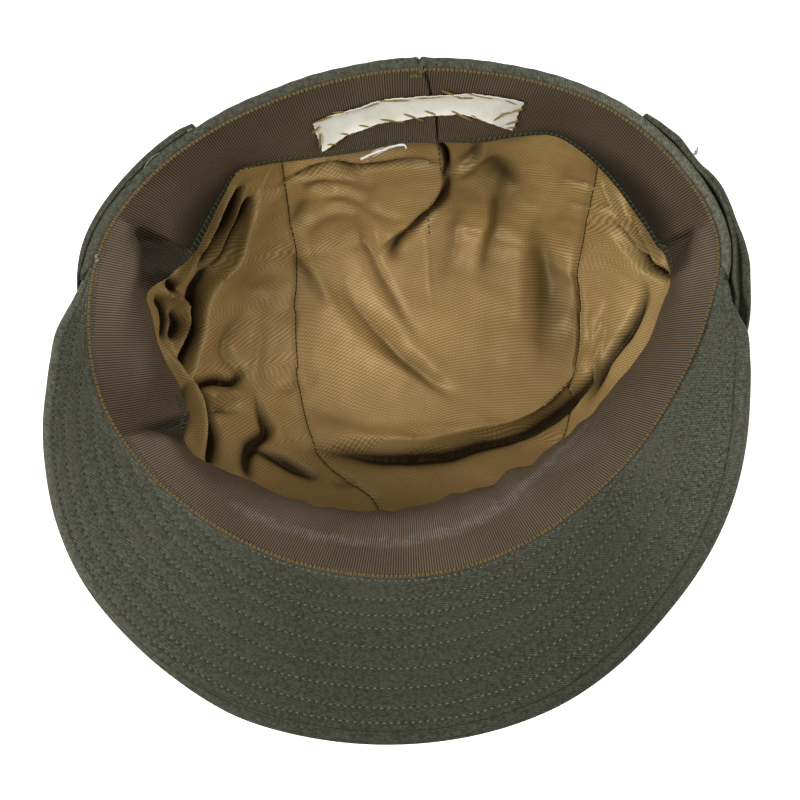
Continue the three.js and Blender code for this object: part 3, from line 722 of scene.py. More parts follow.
def build_sweatband():
    """The ribbon, drawn more finely at its three sharp folds and its joint."""
    angles = np.unique(np.concatenate([round_the_head(RIBBON_COLUMNS)] + [
        np.linspace(start, end, 30) for start, end in ((-112.0, -105.0), (-70.0, -65.0), (105.0, 110.0))]
        + [np.linspace(170.2, 176.6, 44)]))
    downs = np.r_[-RIBBON_EDGE, -0.4, 0.0, 0.7, np.linspace(1.6, RIBBON_WIDTH - 0.8, 30), RIBBON_WIDTH]
    deep = downs[:, None]
    points = ribbon_grid(angles, downs)
    along = arc_lengths(points[2:3], 1)
    # Puckers below the stitch line, then a wave in the front's free edge.
    puckers = 0.22 * np.sin(along / 5.1) * np.sin(along / 13.7 + 1.0)
    points += grid_normals(points) * (puckers * bell(deep - 5.0, 7.0))[..., None]
    front = smoothstep(96.0, 60.0, np.abs(angles))
    wave = 0.28 * np.sin(np.radians(angles) * 31.0) + 0.2 * np.sin(np.radians(angles) * 47.0 + 1.3)
    points += grid_normals(points) * (wave * front * smoothstep(22.0, RIBBON_WIDTH, deep))[..., None]
    # At the joint one end laps over the other, with a groove beside it.
    past_seam = angles - ribbon_seam(downs)[:, None]
    lapped = np.where(past_seam > 0, 0.75 * np.exp(-past_seam / 3.0), -0.5 * bell(past_seam, 0.35))
    points += grid_normals(points) * lapped[..., None]
    uv = cloth_measure(along, deep)
    uv[..., 1] += 4.0 * (past_seam > 0)

    # Painted shade: the lower part at the back, the insides of the folds and a line along the joint are
    # darkened.
    back = smoothstep(98.0, 112.0, np.abs(angles)) * smoothstep(170.0, 150.0, np.abs(angles))
    onset = np.interp(np.abs(angles), [103.0, 108.0, 114.0, 121.0, 128.0, 141.0, 150.0, 162.0],
                      [30.0, 28.0, 23.0, 22.5, 26.0, 33.5, 38.0, 41.0]) + 5.0 * (angles < 0)
    unfaded = np.maximum.reduce([
        1.7 * back * smoothstep(-8.0, 9.0, deep - onset),
        inside_fold(angles, downs, -110.2, -98.5, 12.0), inside_fold(angles, downs, 101.0, 108.4, 10.0),
        inside_fold(angles, downs, -69.0, -62.0, 13.0), 0.9 * bell(past_seam + 0.25, 0.3)])
    # The front is greyed by wear, with a whitish streak that slants down it.
    wear = front * smoothstep(-60.0, -25.0, angles) * (0.3 + 0.7 * bell(deep - 22.0, 9.0))
    streak = np.interp(angles, [-60.0, 0.0, 25.0, 50.0, 75.0], [10.0, 13.5, 16.0, 24.0, 27.0])
    rubbed = smoothstep(-58.0, -38.0, angles) * smoothstep(80.0, 55.0, angles) * bell(deep - streak, 4.5)
    cloth_piece("sweatband_ribbon", points, uv, RIBBON_THICKNESS, "ribbon", RIBBON_CLOTH, "sweatband",
                closed=True, rubbed=rubbed, wear=wear, unfaded=unfaded)


def ribbon_line(start, end, down, proud):
    """A line along the sweatband at one depth, with the band's normals."""
    angles = np.linspace(start, end, 900)
    grid = ribbon_grid(angles, np.array([down - 0.4, down, down + 0.4]))
    normals = grid_normals(grid)
    return grid[1] + normals[1] * proud, normals[1]


def build_sweatband_stitching():
    """Rows that run along the ribbon, and the overlocked edge where it shows.

    A row has the angles it runs between, how far it lies down the ribbon and
    proud of it, its pitch, its stitches' size and slant, and its thread.
    """
    for name, start, end, down, proud, pitch, size, slant, thread in (
            ("sweatband_seam_stitches", -180, 180, -0.1, 0.1, 1.42, (1.3, 1.2, 0.7), 24, GOLD_THREAD),
            ("sweatband_inner_stitches", -104, -52, 1.4, 0.06, 1.9, (1.5, 0.5, 0.4), 0, GREEN_THREAD),
            ("sweatband_edge_stitches", -66, 97, -1.7, 0.05, 2.1, (0.9, 0.6, 0.42), 0, OLIVE_THREAD)):
        row = stitch_row(name, *ribbon_line(start, end, down, proud), pitch, size, slant=slant)
        finish_piece(row, "ribbon", thread)
    parts = []
    for place, start, end in (("back", 103, 252), ("dent", -74.5, -64.5)):
        for row, up, proud, length, slant in (("", 1.3, 0.15, 2.7, 78), ("", 2.6, 0.15, 1.6, 8),
                                              ("_edge", 0.1, -0.3, 1.9, 0)):
            line = ribbon_line(start, end, RIBBON_WIDTH - up, proud)
            parts.append(stitch_row(f"overlock_{place}{row}", *line, 1.75, (length, 0.5, 0.5), slant=slant))
    finish_piece(join("sweatband_overlock", *parts), "ribbon", GREEN_THREAD)


# ---------------------------------------------------------------------------
# Side band, cuff and peak
# ---------------------------------------------------------------------------

def section_sweep(angles, depths, heights):
    """Points of a section carried round the side: depth inside the outer face, and height."""
    depths, heights, angles = np.broadcast_arrays(depths, heights, angles)
    stations = np.linspace(FLAT_STATION, RIM_STATION, 400)
    levels = smooth(WALL, "height", stations)
    points = shell_point(angles, np.interp(heights, levels, stations)) - outward(angles) * depths[..., None]
    points[..., 2] = heights
    return points


def peak_end(angles, share):
    """Angles that draw in towards the peak's edge, where its ends slant."""
    return angles * (1.0 - 0.025 * share)


def peak_seat(angles, share):
    """How far the rim of the side band lies below its full height, under the peak."""
    return PEAK_SEAT * smoothstep(0.5, -0.9, np.abs(angles) - peak_end(PEAK_CORNER, share))


def build_side_band():
    """The band's section runs up the outside, over the hem and down inside."""
    by_seam = np.linspace(BACK_SEAM - 1.6, BACK_SEAM + 1.6, 26)
    angles = np.unique(np.concatenate([round_the_head(BAND_COLUMNS), by_seam]))
    turn = np.radians(np.linspace(0.0, 95.0, 9))
    depths = np.r_[1.2, 0.3, 0.0, 0.0, 0.0, 0.0, BAND_HEM * (1 - np.cos(turn)), 3.6, 4.3, 4.6, 4.6][:, None]
    drops = np.r_[BAND_HEIGHT - np.array([0.8, 0.2, 0.6, 6.0, 20.0, 28.0]),
                  BAND_HEM * (1 - np.sin(turn)), 0.1, 0.4, 1.6, 8.0][:, None]
    seat = peak_seat(angles, 1.0 - np.clip(depths / 4.0, 0, 1))
    points = section_sweep(angles, depths, RIM_HEIGHT - drops - seat * np.clip(1.0 - drops / 30.0, 0, 1))
    along = arc_lengths(points[6:7], 1)
    down = arc_lengths(points[:, :1])
    puckers = 0.06 * np.sin(along / 1.15) + 0.08 * np.sin(along / 4.3 + 0.7)
    points += grid_normals(points) * (puckers * bell(drops - 1.0, 3.0))[..., None]
    from_seam = angles - BACK_SEAM
    seam = 0.55 * bell(from_seam, 0.24) - 0.25 * bell(np.abs(from_seam) - 0.9, 0.6)
    points -= grid_normals(points) * (seam * smoothstep(4.4, 3.0, depths))[..., None]
    uv = cloth_measure(along, down)
    uv[..., 1] += 7.0 * (from_seam > 0)
    # Painted light brightens the band round its right back.
    cloth_piece("side_band_wool", points, uv, BAND_THICKNESS, "wool", WOOL, "side_band", closed=True,
                faded=0.75 * bell(angles - 118.0, 30.0))


def build_cuff():
    """The cuff's section runs up the outside, over the outer ply, down into the
    cleft, over the inner ply and down behind it."""
    angles = np.linspace(CUFF_START, CUFF_END, CUFF_COLUMNS)
    inner = smooth(CUFF, "inner", angles)
    spread = smooth(CUFF, "outer", angles) - inner
    taper = smoothstep(CUFF_START, CUFF_START + 3.0, angles) * smoothstep(CUFF_END, CUFF_END - 3.5, angles)
    ply = 0.62 - 0.42 * bell(angles + 96.0, 5.0)
    cleft = np.clip((spread - 1.2) * 1.6, -0.5, 3.5)
    ring = np.linspace(0.0, math.pi, 7)[:, None]
    around = ply * np.cos(ring)
    outer = spread + 2 * ply
    stand = stack_rows(CUFF_COLUMNS, outer - 0.5, outer, outer, outer, spread + ply + around,
                       (spread + ply) / 2 + 0.1, (spread + ply) / 2 - 0.1, around, -ply, -ply)
    rise = stack_rows(CUFF_COLUMNS, CUFF_FOOT - CUFF_TOP, CUFF_FOOT - CUFF_TOP + 1.2, -26.0, -10.0,
                      ply * np.sin(ring), -cleft, -cleft, ply * np.sin(ring), -8.0, -20.0)
    seat = 0.9 * PEAK_SEAT * smoothstep(*CUFF_SEAT, angles) * smoothstep(92.0, 80.0, angles)
    heights = CUFF_TOP - 1.6 * (1.0 - taper) + rise - seat * np.clip(1.0 + rise / 30.0, 0, 1)
    points = section_sweep(angles, -(inner + ply + stand), heights)
    uv = cloth_measure(arc_lengths(points[2:3], 1), arc_lengths(points[:, 200:201]))
    cloth_piece("front_cuff_wool", points, uv, CUFF_THICKNESS, "wool", WOOL, "front_cuff")


# Distance of the peak's quilting rows from its edge.
QUILTING = (3.0, 8.0, 14.8, 21.5, 29.0, 35.5, 40.2, 45.8, 51.4)
QUILTING_PITCH = 2.2
QUILTING_STITCH = (1.05, 0.52, 0.38)
QUILTING_HOLE = (0.65, 0.55, 0.26)


def peak_length(angles):
    return (smooth(PEAK, "reach", angles) - PEAK_START) / np.cos(np.radians(smooth(PEAK, "slope", angles)))


def peak_point(angles, along, deep):
    """Points of the peak: along it from its seam, and deep below its inner face."""
    slope = np.radians(smooth(PEAK, "slope", angles))
    radius = stitch_radius(angles) + PEAK_START + along * np.cos(slope) + deep * np.sin(slope)
    points = outward(np.broadcast_to(angles, radius.shape)) * radius[..., None]
    points[..., 2] = RIM_HEIGHT + along * np.sin(slope) - deep * np.cos(slope)
    return points


def unrolled_peak(angles, points):
    """The peak's cloth laid flat, as a cone of even slope unrolls."""
    radius = np.hypot(points[..., 0], points[..., 1]) / PEAK_UNROLL
    return outward(angles * PEAK_UNROLL)[:, :2] * radius[..., None]


def painted_side_light(angles):
    """1 where painted light makes the peak's wool palest, at both sides, and 0 at its darker front."""
    return np.maximum(smoothstep(-8.0, -62.0, angles), 0.85 * smoothstep(32.0, 72.0, angles))


def build_peak_under():
    """The cover's section runs round its bent edge and in to the seam, with a
    groove at each row of quilting."""
    columns, rows_in = PEAK_UNDER_GRID
    angles = np.linspace(-PEAK_CORNER, PEAK_CORNER, columns)
    length = peak_length(angles) - smooth(PEAK, "roll", angles)
    bend = np.minimum(1.5, 0.45 * length)
    turn = np.radians(np.linspace(105.0, 0.0, 9))[:, None]
    shares = np.linspace(1.0, 0.0, rows_in)[:, None]
    along = np.vstack([length - bend + bend * np.sin(turn), (length - bend) * shares])
    bent = stack_rows(columns, bend * (1.0 - np.cos(turn)), 0.0 * shares)
    slant = np.vstack([np.ones_like(turn), shares])
    groove = sum(bell(length - along - row, 0.75) for row in QUILTING)
    swell = 0.1 + 0.25 * bell(along, 1.5)
    points = peak_point(peak_end(angles, slant), along, bent + 0.32 * groove - swell)
    seam = outward(angles) * (stitch_radius(angles) + np.array([[1.1], [0.8], [0.4]]))[..., None]
    seam[..., 2] = RIM_HEIGHT + np.array([[0.35], [0.2], [-0.4]])
    points = np.vstack([points, seam])
    share = np.clip(1.0 - along / length, 0.0, 1.0)
    # Painted light: the under cover is paler at both sides and towards its seam.
    faded = np.maximum(painted_side_light(angles), 0.3 * share ** 2)
    faded = np.vstack([faded, np.repeat(faded[-1:], len(seam), axis=0)])
    cloth_piece("peak_under_cover", points, unrolled_peak(angles, points), PEAK_UNDER_THICKNESS,
                "peak_wool", PEAK_WOOL, "peak_under", faded=faded)
    rows = []
    holes = []
    for row in QUILTING:
        first, last = np.flatnonzero(length - row > 0.8)[[0, -1]]
        part = slice(first, last + 1)
        place = (length - row)[part]
        across = peak_end(angles[part], place / length[part])
        line = peak_point(across, place, 0.16)
        normals = path_normals(line, peak_point(across, place, -2.0) - line)
        rows.append(stitch_row("stitches", line, normals, QUILTING_PITCH, QUILTING_STITCH, sink=0.1))
        # Painted shade: a dark mark in each shaded needle hole between the stitches.
        between = line + unit(np.gradient(line, axis=0)) * QUILTING_PITCH / 2
        holes.append(stitch_row("holes", between, normals, QUILTING_PITCH, QUILTING_HOLE, sink=0.02))
    finish_piece(join("peak_quilting_stitches", *rows), "peak_wool", OLIVE_THREAD)
    finish_piece(join("peak_needle_hole_shade", *holes), "peak_wool", NEEDLE_HOLE_SHADE)


def build_peak_top():
    """The cover's section runs out below the peak, round the rolled edge and a
    little way back over the other cover; where no roll shows it stays buried."""
    columns, rows_out = PEAK_TOP_GRID
    angles = np.linspace(-PEAK_CORNER, PEAK_CORNER, columns)
    roll = smooth(PEAK, "roll", angles)
    length = peak_length(angles)
    shown = np.clip(roll / 2.0, 0.0, 1.0)
    lip = (0.8 + 1.3 * shown) * np.clip(length / 8.0, 0.4, 1.0)
    buried = 1.9 * (1.0 - shown)
    lower = 2.0 * lip + 0.1 + buried
    reach = length - 1.6 * (1.0 - shown)
    shares = np.linspace(0.0, 1.0, rows_out)[:, None]
    turn = np.radians(np.linspace(15.0, 195.0, 19))[:, None]
    dent = 1.0 - 0.2 * bell(turn - 1.95, 0.22) * shown
    spread = np.clip(roll / 2.0, 0.9, 1.2)
    along = np.vstack([shares * (reach - lip), reach - lip + lip * dent * np.sin(turn) * spread,
                       reach - roll * 0.9, reach - roll - 0.4])
    below = stack_rows(columns, 0.0 * shares + lower, lower - lip + lip * dent * np.cos(turn),
                       buried + 0.3, buried + 1.0)
    slant = np.vstack([shares, np.ones((len(along) - len(shares), 1))])
    points = peak_point(peak_end(angles, slant), np.maximum(along, 0.0), below)
    # Painted light: the top cover is paler at both sides.
    cloth_piece("peak_top_cover", points, unrolled_peak(angles, points), PEAK_TOP_THICKNESS,
                "peak_wool", PEAK_WOOL, "peak_top", faded=painted_side_light(angles))


# ---------------------------------------------------------------------------
# Crown and lining panels
# ---------------------------------------------------------------------------

def plan_to_disc(plan):
    """Places on the unrolled disc of points given in plan, as x and y."""
    low = np.zeros(len(plan))
    high = np.full(len(plan), 160.0)
    for _ in range(40):
        station = (low + high) / 2
        reach = np.where(station > RIM_STATION, 1.0 + (station - RIM_STATION) * 0.01,
                         np.maximum(smooth(WALL, "reach", station), 0.0))
        away = plan - np.array(FLAT_CENTRE) * (1 - reach)[:, None]
        angle = angle_of(away)
        outside = np.hypot(away[:, 0], away[:, 1]) > shell_radius(angle, station, reach)
        low = np.where(outside, station, low)
        high = np.where(outside, high, station)
    return outward(angle)[:, :2] * station[:, None]


def seam_path(side, top, rows):
    """A panel seam on the disc, front to back, cut where it reaches a station."""
    y = np.linspace(-95.0, 95.0, 400)
    plan = np.stack([FLAT_CENTRE[0] + side * smooth(CENTRE_PANEL, "half_width", y), y], axis=-1)
    disc = plan_to_disc(plan)
    inside = np.flatnonzero(np.hypot(disc[:, 0], disc[:, 1]) < top)
    disc = disc[inside[0]:inside[-1] + 1]
    lengths = arc_lengths(disc)
    path = along_path(np.linspace(0.0, lengths[-1], rows), lengths, disc)
    for end in (0, -1):
        path[end] *= top / np.hypot(*path[end])
    return path


def rim_arc(start, end, top, count):
    return outward(np.linspace(start, end, count))[:, :2] * top


def centre_panel_disc(top, rows, columns):
    """Grid of the middle panel, between both seams and two arcs of the rim."""
    left = seam_path(-1, top, rows)
    right = seam_path(1, top, rows)
    front = rim_arc(angle_of(left[0]), angle_of(right[0]), top, columns)
    back = rim_arc(angle_of(left[-1]) % 360, angle_of(right[-1]) % 360, top, columns)
    u = np.linspace(0.0, 1.0, columns)[None, :, None]
    v = np.linspace(0.0, 1.0, rows)[:, None, None]
    corners = ((1 - u) * (1 - v) * left[0] + u * (1 - v) * right[0]
               + (1 - u) * v * left[-1] + u * v * right[-1])
    return (1 - u) * left[:, None] + u * right[:, None] + (1 - v) * front[None] + v * back[None] - corners


def side_panel_disc(side, top, rows, columns):
    """Grid of a side panel, from an arc of the rim to its seam, with blunt tips."""
    seam = seam_path(side, top, rows)
    arc = rim_arc(angle_of(seam[0]), angle_of(seam[-1]), top, rows)
    u = np.linspace(0.0, 1.0, columns)[None, :, None]
    grid = (1 - u) * arc[:, None] + u * seam[:, None]
    middle = grid.mean(axis=1, keepdims=True)
    at_tip = np.arange(rows) % (rows - 1) == 0
    grid = middle + (grid - middle) * np.where(at_tip, 0.004, 1.0)[:, None, None]
    return grid if side < 0 else grid[:, ::-1]


def panel_disc(side, top, rows, columns):
    if side == 0:
        return centre_panel_disc(top, rows, columns)
    return side_panel_disc(side, top, rows, columns)


def shell_normals(disc, blur=0.6):
    """Inward unit normals of the crown at places on the disc, evened over a blur."""
    right = np.array([blur, 0.0])
    back = np.array([0.0, blur])
    return unit(np.cross(disc_point(disc + right) - disc_point(disc - right),
                         disc_point(disc + back) - disc_point(disc - back)))


def panel_uv(points):
    """The cloth's own measure: across each row from its middle, along the middle column."""
    across = arc_lengths(points, 1)
    middle = slice(points.shape[1] // 2, points.shape[1] // 2 + 1)
    return cloth_measure(across - across[:, middle], arc_lengths(points)[:, middle])


# Folds of the lining.  Each runs along a path on the unrolled disc, in
# millimetres right of and behind its middle.  A positive height stands up
# from the cloth and a negative one sinks.  The cloth eases over the left and
# right widths, as seen by someone who walks the path from its first point
# inside the cap.  A crease of 1 is sharp and of 0 round.
# A fold that sinks also gets painted shade, more where its crease is sharper.
FOLDS = (
    # name, path, left, right, height, crease
    ("back_turn", ((-60, 67), (-52, 74), (-45, 79), (-37, 82), (-29, 80), (-14, 82), (0, 83), (8, 83)),
     1.6, 1.4, -4.2, 0.6),
    ("back_hem", ((-58, 72), (-50, 80), (-43, 84), (-29, 85), (0, 88)), 2.0, 1.8, 2.2, 0.1),
    ("back_ridge", ((-53, 72), (-42, 75), (-32, 75), (-22, 69)), 2.2, 3.0, 3.0, 0.1),
    ("back_hollow", ((-50, 67), (-44, 69), (-37, 68)), 2.6, 3.0, -2.6, 0.12),
    ("back_hollow_left", ((-48, 60), (-50, 51), (-52, 43)), 3.4, 3.2, -2.4, 0.12),
    ("upper_arch", ((-45, 62), (-35, 66), (-28, 63), (-23, 58), (-13, 55)), 1.8, 2.6, 2.2, 0.3),
    ("arch_hollow", ((-41, 60), (-34, 60), (-27, 55)), 2.0, 2.0, -1.4, 0.1),
    ("lower_arch", ((-48, 38), (-47, 44), (-43, 52), (-37, 56), (-31, 54), (-28, 46)), 2.4, 3.4, 1.8, 0.2),
    ("long_ridge", ((-48, 40), (-45, 31), (-41, 22), (-34, 12), (-30, 6), (-25, 0), (-19, -6), (-14, -12),
                    (-9, -18), (-1, -25)), 2.2, 5.5, 2.2, 0.2),
    ("long_valley", ((-32, 19), (-26, 9), (-22, 4), (-17, -2), (-13, -8), (-9, -13), (-3, -20), (5, -25)),
     3.0, 1.4, -3.4, 0.05),
    ("thin_valley", ((-31, 53), (-28, 38), (-24, 29), (-20, 21), (-15, 13), (-11, 6), (-6, 0)),
     1.8, 1.2, -2.0, 0.2),
    ("middle_ridge", ((-31, 33), (-23, 18), (-16, 8), (-9, -2), (2, -17)), 3.0, 3.0, 1.6, 0.1),
    ("short_crease", ((-52, 34), (-43, 22), (-38, 15), (-34, 9)), 1.4, 4.4, -2.2, 0.5),
    ("overlap", ((12, 92), (12, 82), (10, 78), (8, 74), (4, 68), (-1, 63), (-7, 58), (-14, 49), (-19, 40),
                 (-22, 32)), 0.9, 9.0, 3.8, 0.4),
    ("overlap_shadow", ((14, 80), (12, 77), (10, 73), (6, 66), (1, 61), (-5, 56), (-12, 47), (-17, 38),
                        (-19, 30)), 3.0, 1.0, -3.0, 0.3),
    ("overlap_foot", ((-15, 47), (-17, 37), (-17, 28)), 2.4, 1.6, -2.0, 0.2),
    ("overlap_toe", ((-25, 52), (-24, 42), (-21, 31)), 1.8, 1.6, 1.6, 0.2),
    ("back_gap", ((9, 94), (12, 88), (12, 82), (9, 76)), 1.2, 0.9, -5.0, 0.3),
    ("pressed_line", ((-5, 46), (-4, 23), (-2, 9)), 0.8, 0.8, 0.5, 0.5),
    ("back_right_ridge", ((8, 74), (16, 76), (22, 79), (28, 83), (32, 91)), 1.8, 2.6, 2.4, 0.2),
    ("back_right_hollow", ((29, 90), (24, 83), (17, 80)), 2.0, 2.0, -2.4, 0.1),
    ("right_arch", ((6, 69), (13, 71), (19, 70), (24, 65), (25, 59), (22, 50), (17, 40), (15, 30), (14, 22)),
     2.4, 3.6, 1.9, 0.1),
    ("right_arch_valley", ((34, 70), (29, 58), (25, 47), (20, 36), (17, 26), (13, 19)), 5.0, 2.6, -2.2, 0.1),
    ("back_right_dark", ((31, 82), (34, 72), (38, 63)), 5.0, 4.0, -2.8, 0.1),
    ("oval_hollow", ((12, 58), (7, 44), (5, 34), (2, 25)), 2.6, 2.8, -2.0, 0.1),
    ("right_swell", ((41, 56), (35, 42), (27, 27)), 5.0, 5.0, 1.6, 0.0),
    ("right_far_swell", ((50, 74), (52, 60), (50, 46)), 6.0, 6.0, 1.4, 0.0),
    ("seam_pleat", ((58, 67), (63, 63), (68, 60), (71, 58)), 1.2, 1.4, -1.5, 0.8),
    ("seam_pleat_low", ((57, 55), (60, 53), (65, 50)), 1.2, 1.3, -1.2, 0.8),
    ("broad_valley", ((41, 42), (36, 28), (33, 12), (32, 2), (32, -9)), 4.6, 4.0, -2.8, 0.0),
    ("broad_ridge", ((50, 34), (43, 16), (39, 0)), 3.6, 4.0, 1.4, 0.0),
    ("broad_ridge_left", ((30, 34), (26, 16), (24, 0)), 3.0, 3.0, 1.0, 0.0),
    ("strip_outer", ((-78, 70), (-81, 60), (-83, 46), (-86, 35), (-89, 25), (-91, 18), (-89, 12)),
     1.2, 1.6, 4.6, 0.1),
    ("strip_outer_gap", ((-74.4, 68), (-76.4, 56), (-78.4, 44), (-80.6, 33), (-82, 25)), 1.8, 1.8, -7.5, 0.5),
    ("strip_inner", ((-73, 66), (-74.8, 54), (-76.2, 44), (-77.2, 34), (-78, 27)), 1.0, 1.1, 3.6, 0.1),
    ("strip_inner_gap", ((-69.8, 62), (-71.4, 52), (-73, 43), (-74.6, 34), (-78, 26)), 1.5, 1.6, -7.5, 0.5),
    ("main_edge", ((-67, 66), (-68.6, 53), (-69.4, 44), (-71, 31), (-74.6, 24), (-78, 18), (-80, 12),
                   (-81, 4), (-82, -1), (-83, -10), (-84, -18)), 9.0, 1.1, 5.6, 0.1),
    ("deep_gap", ((-78, 26), (-81, 20), (-82, 17), (-83, 11), (-84, 1), (-86, -8), (-87, -16)),
     2.0, 2.4, -9.5, 0.3),
    ("crumple_ridge", ((-97, 17), (-90, 13), (-86.5, 10), (-86.5, 4), (-88.5, -2), (-90, -10)),
     1.6, 1.8, 5.0, 0.2),
    ("crumple_pocket", ((-94, 21), (-91, 16)), 1.6, 1.6, -6.5, 0.3),
    ("crumple_outer", ((-99, 14), (-95, 10), (-94, 5), (-95, -3)), 2.0, 2.0, -6.0, 0.3),
    ("crumple_inner", ((-91, 9), (-89.5, 4), (-91.5, -3)), 1.4, 1.6, -6.0, 0.3),
    ("low_strip", ((-95, -5), (-91, -13), (-87, -21), (-85, -29), (-84.5, -38), (-85, -47), (-87, -56)),
     1.4, 3.4, 6.5, 0.1),
    ("low_gap", ((-83, -19), (-81, -24), (-80, -31), (-80, -38), (-81, -46), (-84, -56)),
     3.0, 1.2, -7.5, 0.3),
    ("low_slit", ((-89, -21), (-89.4, -30), (-90, -38), (-94, -47)), 1.0, 1.2, -6.0, 0.6),
    ("level", ((-84, -22), (-78, -19), (-74, -18), (-68, -18), (-63, -13)), 2.4, 1.2, -5.2, 0.4),
    ("level_lip", ((-81, -24), (-72, -23), (-64, -22)), 1.5, 2.2, 2.8, 0.2),
    ("level_low", ((-83, -28), (-76, -29), (-67, -29)), 2.2, 1.6, -3.0, 0.2),
    ("left_hollow", ((-61, 9), (-67, 3), (-71, -2), (-71, -7), (-67, -12), (-63, -18)), 2.8, 3.4, -2.6, 0.1),
    ("left_rise", ((-57, 4), (-59, -7), (-60, -16)), 3.4, 2.4, 2.0, 0.1),
    ("left_upper_hollow", ((-68, 18), (-60, 16), (-52, 14)), 4.0, 5.0, -1.6, 0.0),
    ("foot", ((-60, -21), (-59, -31), (-59, -38), (-65, -45), (-68, -53), (-69, -63)), 2.2, 3.0, -4.2, 0.35),
    ("foot_turn", ((-67, -45), (-57, -50), (-50, -56), (-43, -62)), 2.0, 3.4, -3.2, 0.3),
    ("foot_rise", ((-54, -28), (-55, -37), (-53, -45)), 3.0, 3.0, 1.4, 0.0),
    ("seam_hollow", ((-53, -19), (-47, -18), (-43, -13)), 2.0, 2.6, -1.8, 0.2),
    ("seam_hollow_right", ((-41, -4), (-39, -11), (-42, -18)), 2.4, 2.6, -1.3, 0.0),
    ("front_roll", ((-43, -41), (-36, -42), (-19, -47), (-6, -49), (6, -46), (17, -40), (26, -36), (35, -30),
                    (43, -22), (50, -13), (55, -3)), 13.0, 3.2, 6.0, 0.1),
    ("front_crease", ((-45, -46), (-36, -48), (-28, -51), (-18, -54), (-6, -55), (7, -53), (19, -47),
                      (29, -43), (37, -38), (43, -31), (50, -24), (58, -17), (61, -8)), 1.4, 4.4, -4.8, 0.4),
    ("front_pit", ((33, -41), (43, -32), (50, -25), (59, -15)), 1.6, 4.2, -6.0, 0.3),
    ("front_left_hollow", ((-39, -65), (-29, -66)), 2.6, 2.6, -1.6, 0.0),
    ("right_fall", ((85, 19), (81, 10), (76, 1), (71, -4), (66, -10), (64, -17), (64, -27)),
     4.4, 2.0, -4.6, 0.25),
    ("right_seam_welt", ((62, 6), (60.5, -6), (60.5, -18), (60, -27), (57, -34)), 1.0, 2.0, 1.2, 0.1),
    ("right_edge_gap", ((78, 63), (82, 57), (87, 50), (91.6, 43), (94, 34), (96, 22)), 0.9, 2.4, -4.0, 0.3),
    ("right_strip_outer", ((82, 52), (86, 45), (88.8, 39), (90, 32), (90.6, 24)), 1.1, 1.2, 4.2, 0.0),
    ("right_strip_gap", ((84.6, 46), (86.6, 39), (87.2, 31), (87.2, 24)), 0.9, 0.9, -7.0, 0.8),
    ("right_strip_inner", ((74, 62), (75, 57), (80, 47), (83.4, 40), (84.4, 32), (85, 26)),
     1.2, 1.8, 4.2, 0.0),
    ("right_slit", ((73, 42), (76, 39), (79, 35), (82, 31), (86, 26), (92, 22), (98, 19)),
     1.3, 1.1, -8.0, 0.8),
    ("right_panel_lip", ((68, 40), (74, 33), (78, 29), (85, 23), (96, 17)), 1.4, 6.5, 2.6, 0.1),
    ("right_crease", ((68, 50), (73, 50), (77, 46), (79, 40)), 1.0, 1.4, -1.6, 0.5),
    ("right_spot", ((60, 6), (61, -3)), 2.6, 2.6, -1.2, 0.0),
)

# The centre back seam of the lining ends in a short dart.
BACK_DART = ((10, 90), (9, 80), (10, 76), (6, 68), (-1, 60), (-4, 44))


def fold_heights(base, normals):
    """Height of the lining over its base at grid points, and the painted shade of its creases, from its
    folds.
    """
    flat = base.reshape(-1, 3)
    ups = normals.reshape(-1, 3)
    total = np.zeros(len(flat))
    painted_crease_shade = np.zeros(len(flat))
    for _, path, left, right, height, crease in FOLDS:
        line = eased_point(smooth_line(path, 90))
        reach = 3.2 * max(left, right)
        near = np.flatnonzero(np.all((flat > line.min(0) - reach) & (flat < line.max(0) + reach), axis=1))
        if not len(near):
            continue
        away = flat[near][:, None] - line[None]
        nearest = np.argmin(np.sum(away ** 2, axis=-1), axis=1)
        offset = away[np.arange(len(near)), nearest]
        tangent = unit(np.gradient(line, axis=0))[nearest]
        beyond = np.sum(offset * tangent, axis=1)
        side = np.sum(np.cross(tangent, offset) * ups[near], axis=1)
        squared = np.sum(offset ** 2, axis=1)
        at_end = (nearest == 0) | (nearest == len(line) - 1)
        distance = np.sqrt(np.where(at_end, squared, np.maximum(squared - beyond ** 2, 0.0)))
        ratio = distance / np.where(side > 0, left, right)
        shape = (1 - crease) * bell(ratio, 1.0) + crease * np.exp(-1.3 * ratio)
        ends = np.sin(math.pi * np.clip((nearest + 1.5) / (len(line) + 2), 0, 1)) ** 0.7
        total[near] += height * shape * ends
        # Painted shade: darker the deeper and sharper a fold sinks.
        painted_crease_shade[near] += max(-height, 0.0) * min(0.5 + 2.2 * crease, 1.2) * shape ** 1.2 * ends
    return total.reshape(base.shape[:2]), painted_crease_shade.reshape(base.shape[:2])


def ripples(points, length, seed):
    """Gentle uneven swells about a length apart, the same on every run."""
    chance = np.random.default_rng(seed)
    total = np.zeros(points.shape[:2])
    for _ in range(9):
        direction = chance.normal(size=3)
        direction *= 2 * math.pi / (length * chance.uniform(0.6, 1.5) * np.linalg.norm(direction))
        total += np.sin(points @ direction + chance.uniform(0, 6.3))
    return total / 3.0


def seam_distance(points, side):
    """How far grid points lie from the panel's seams, along their rows."""
    from_start = arc_lengths(points, 1)
    from_end = from_start[:, -1:] - from_start
    if side == 0:
        return np.minimum(from_start, from_end)
    return from_end if side < 0 else from_start


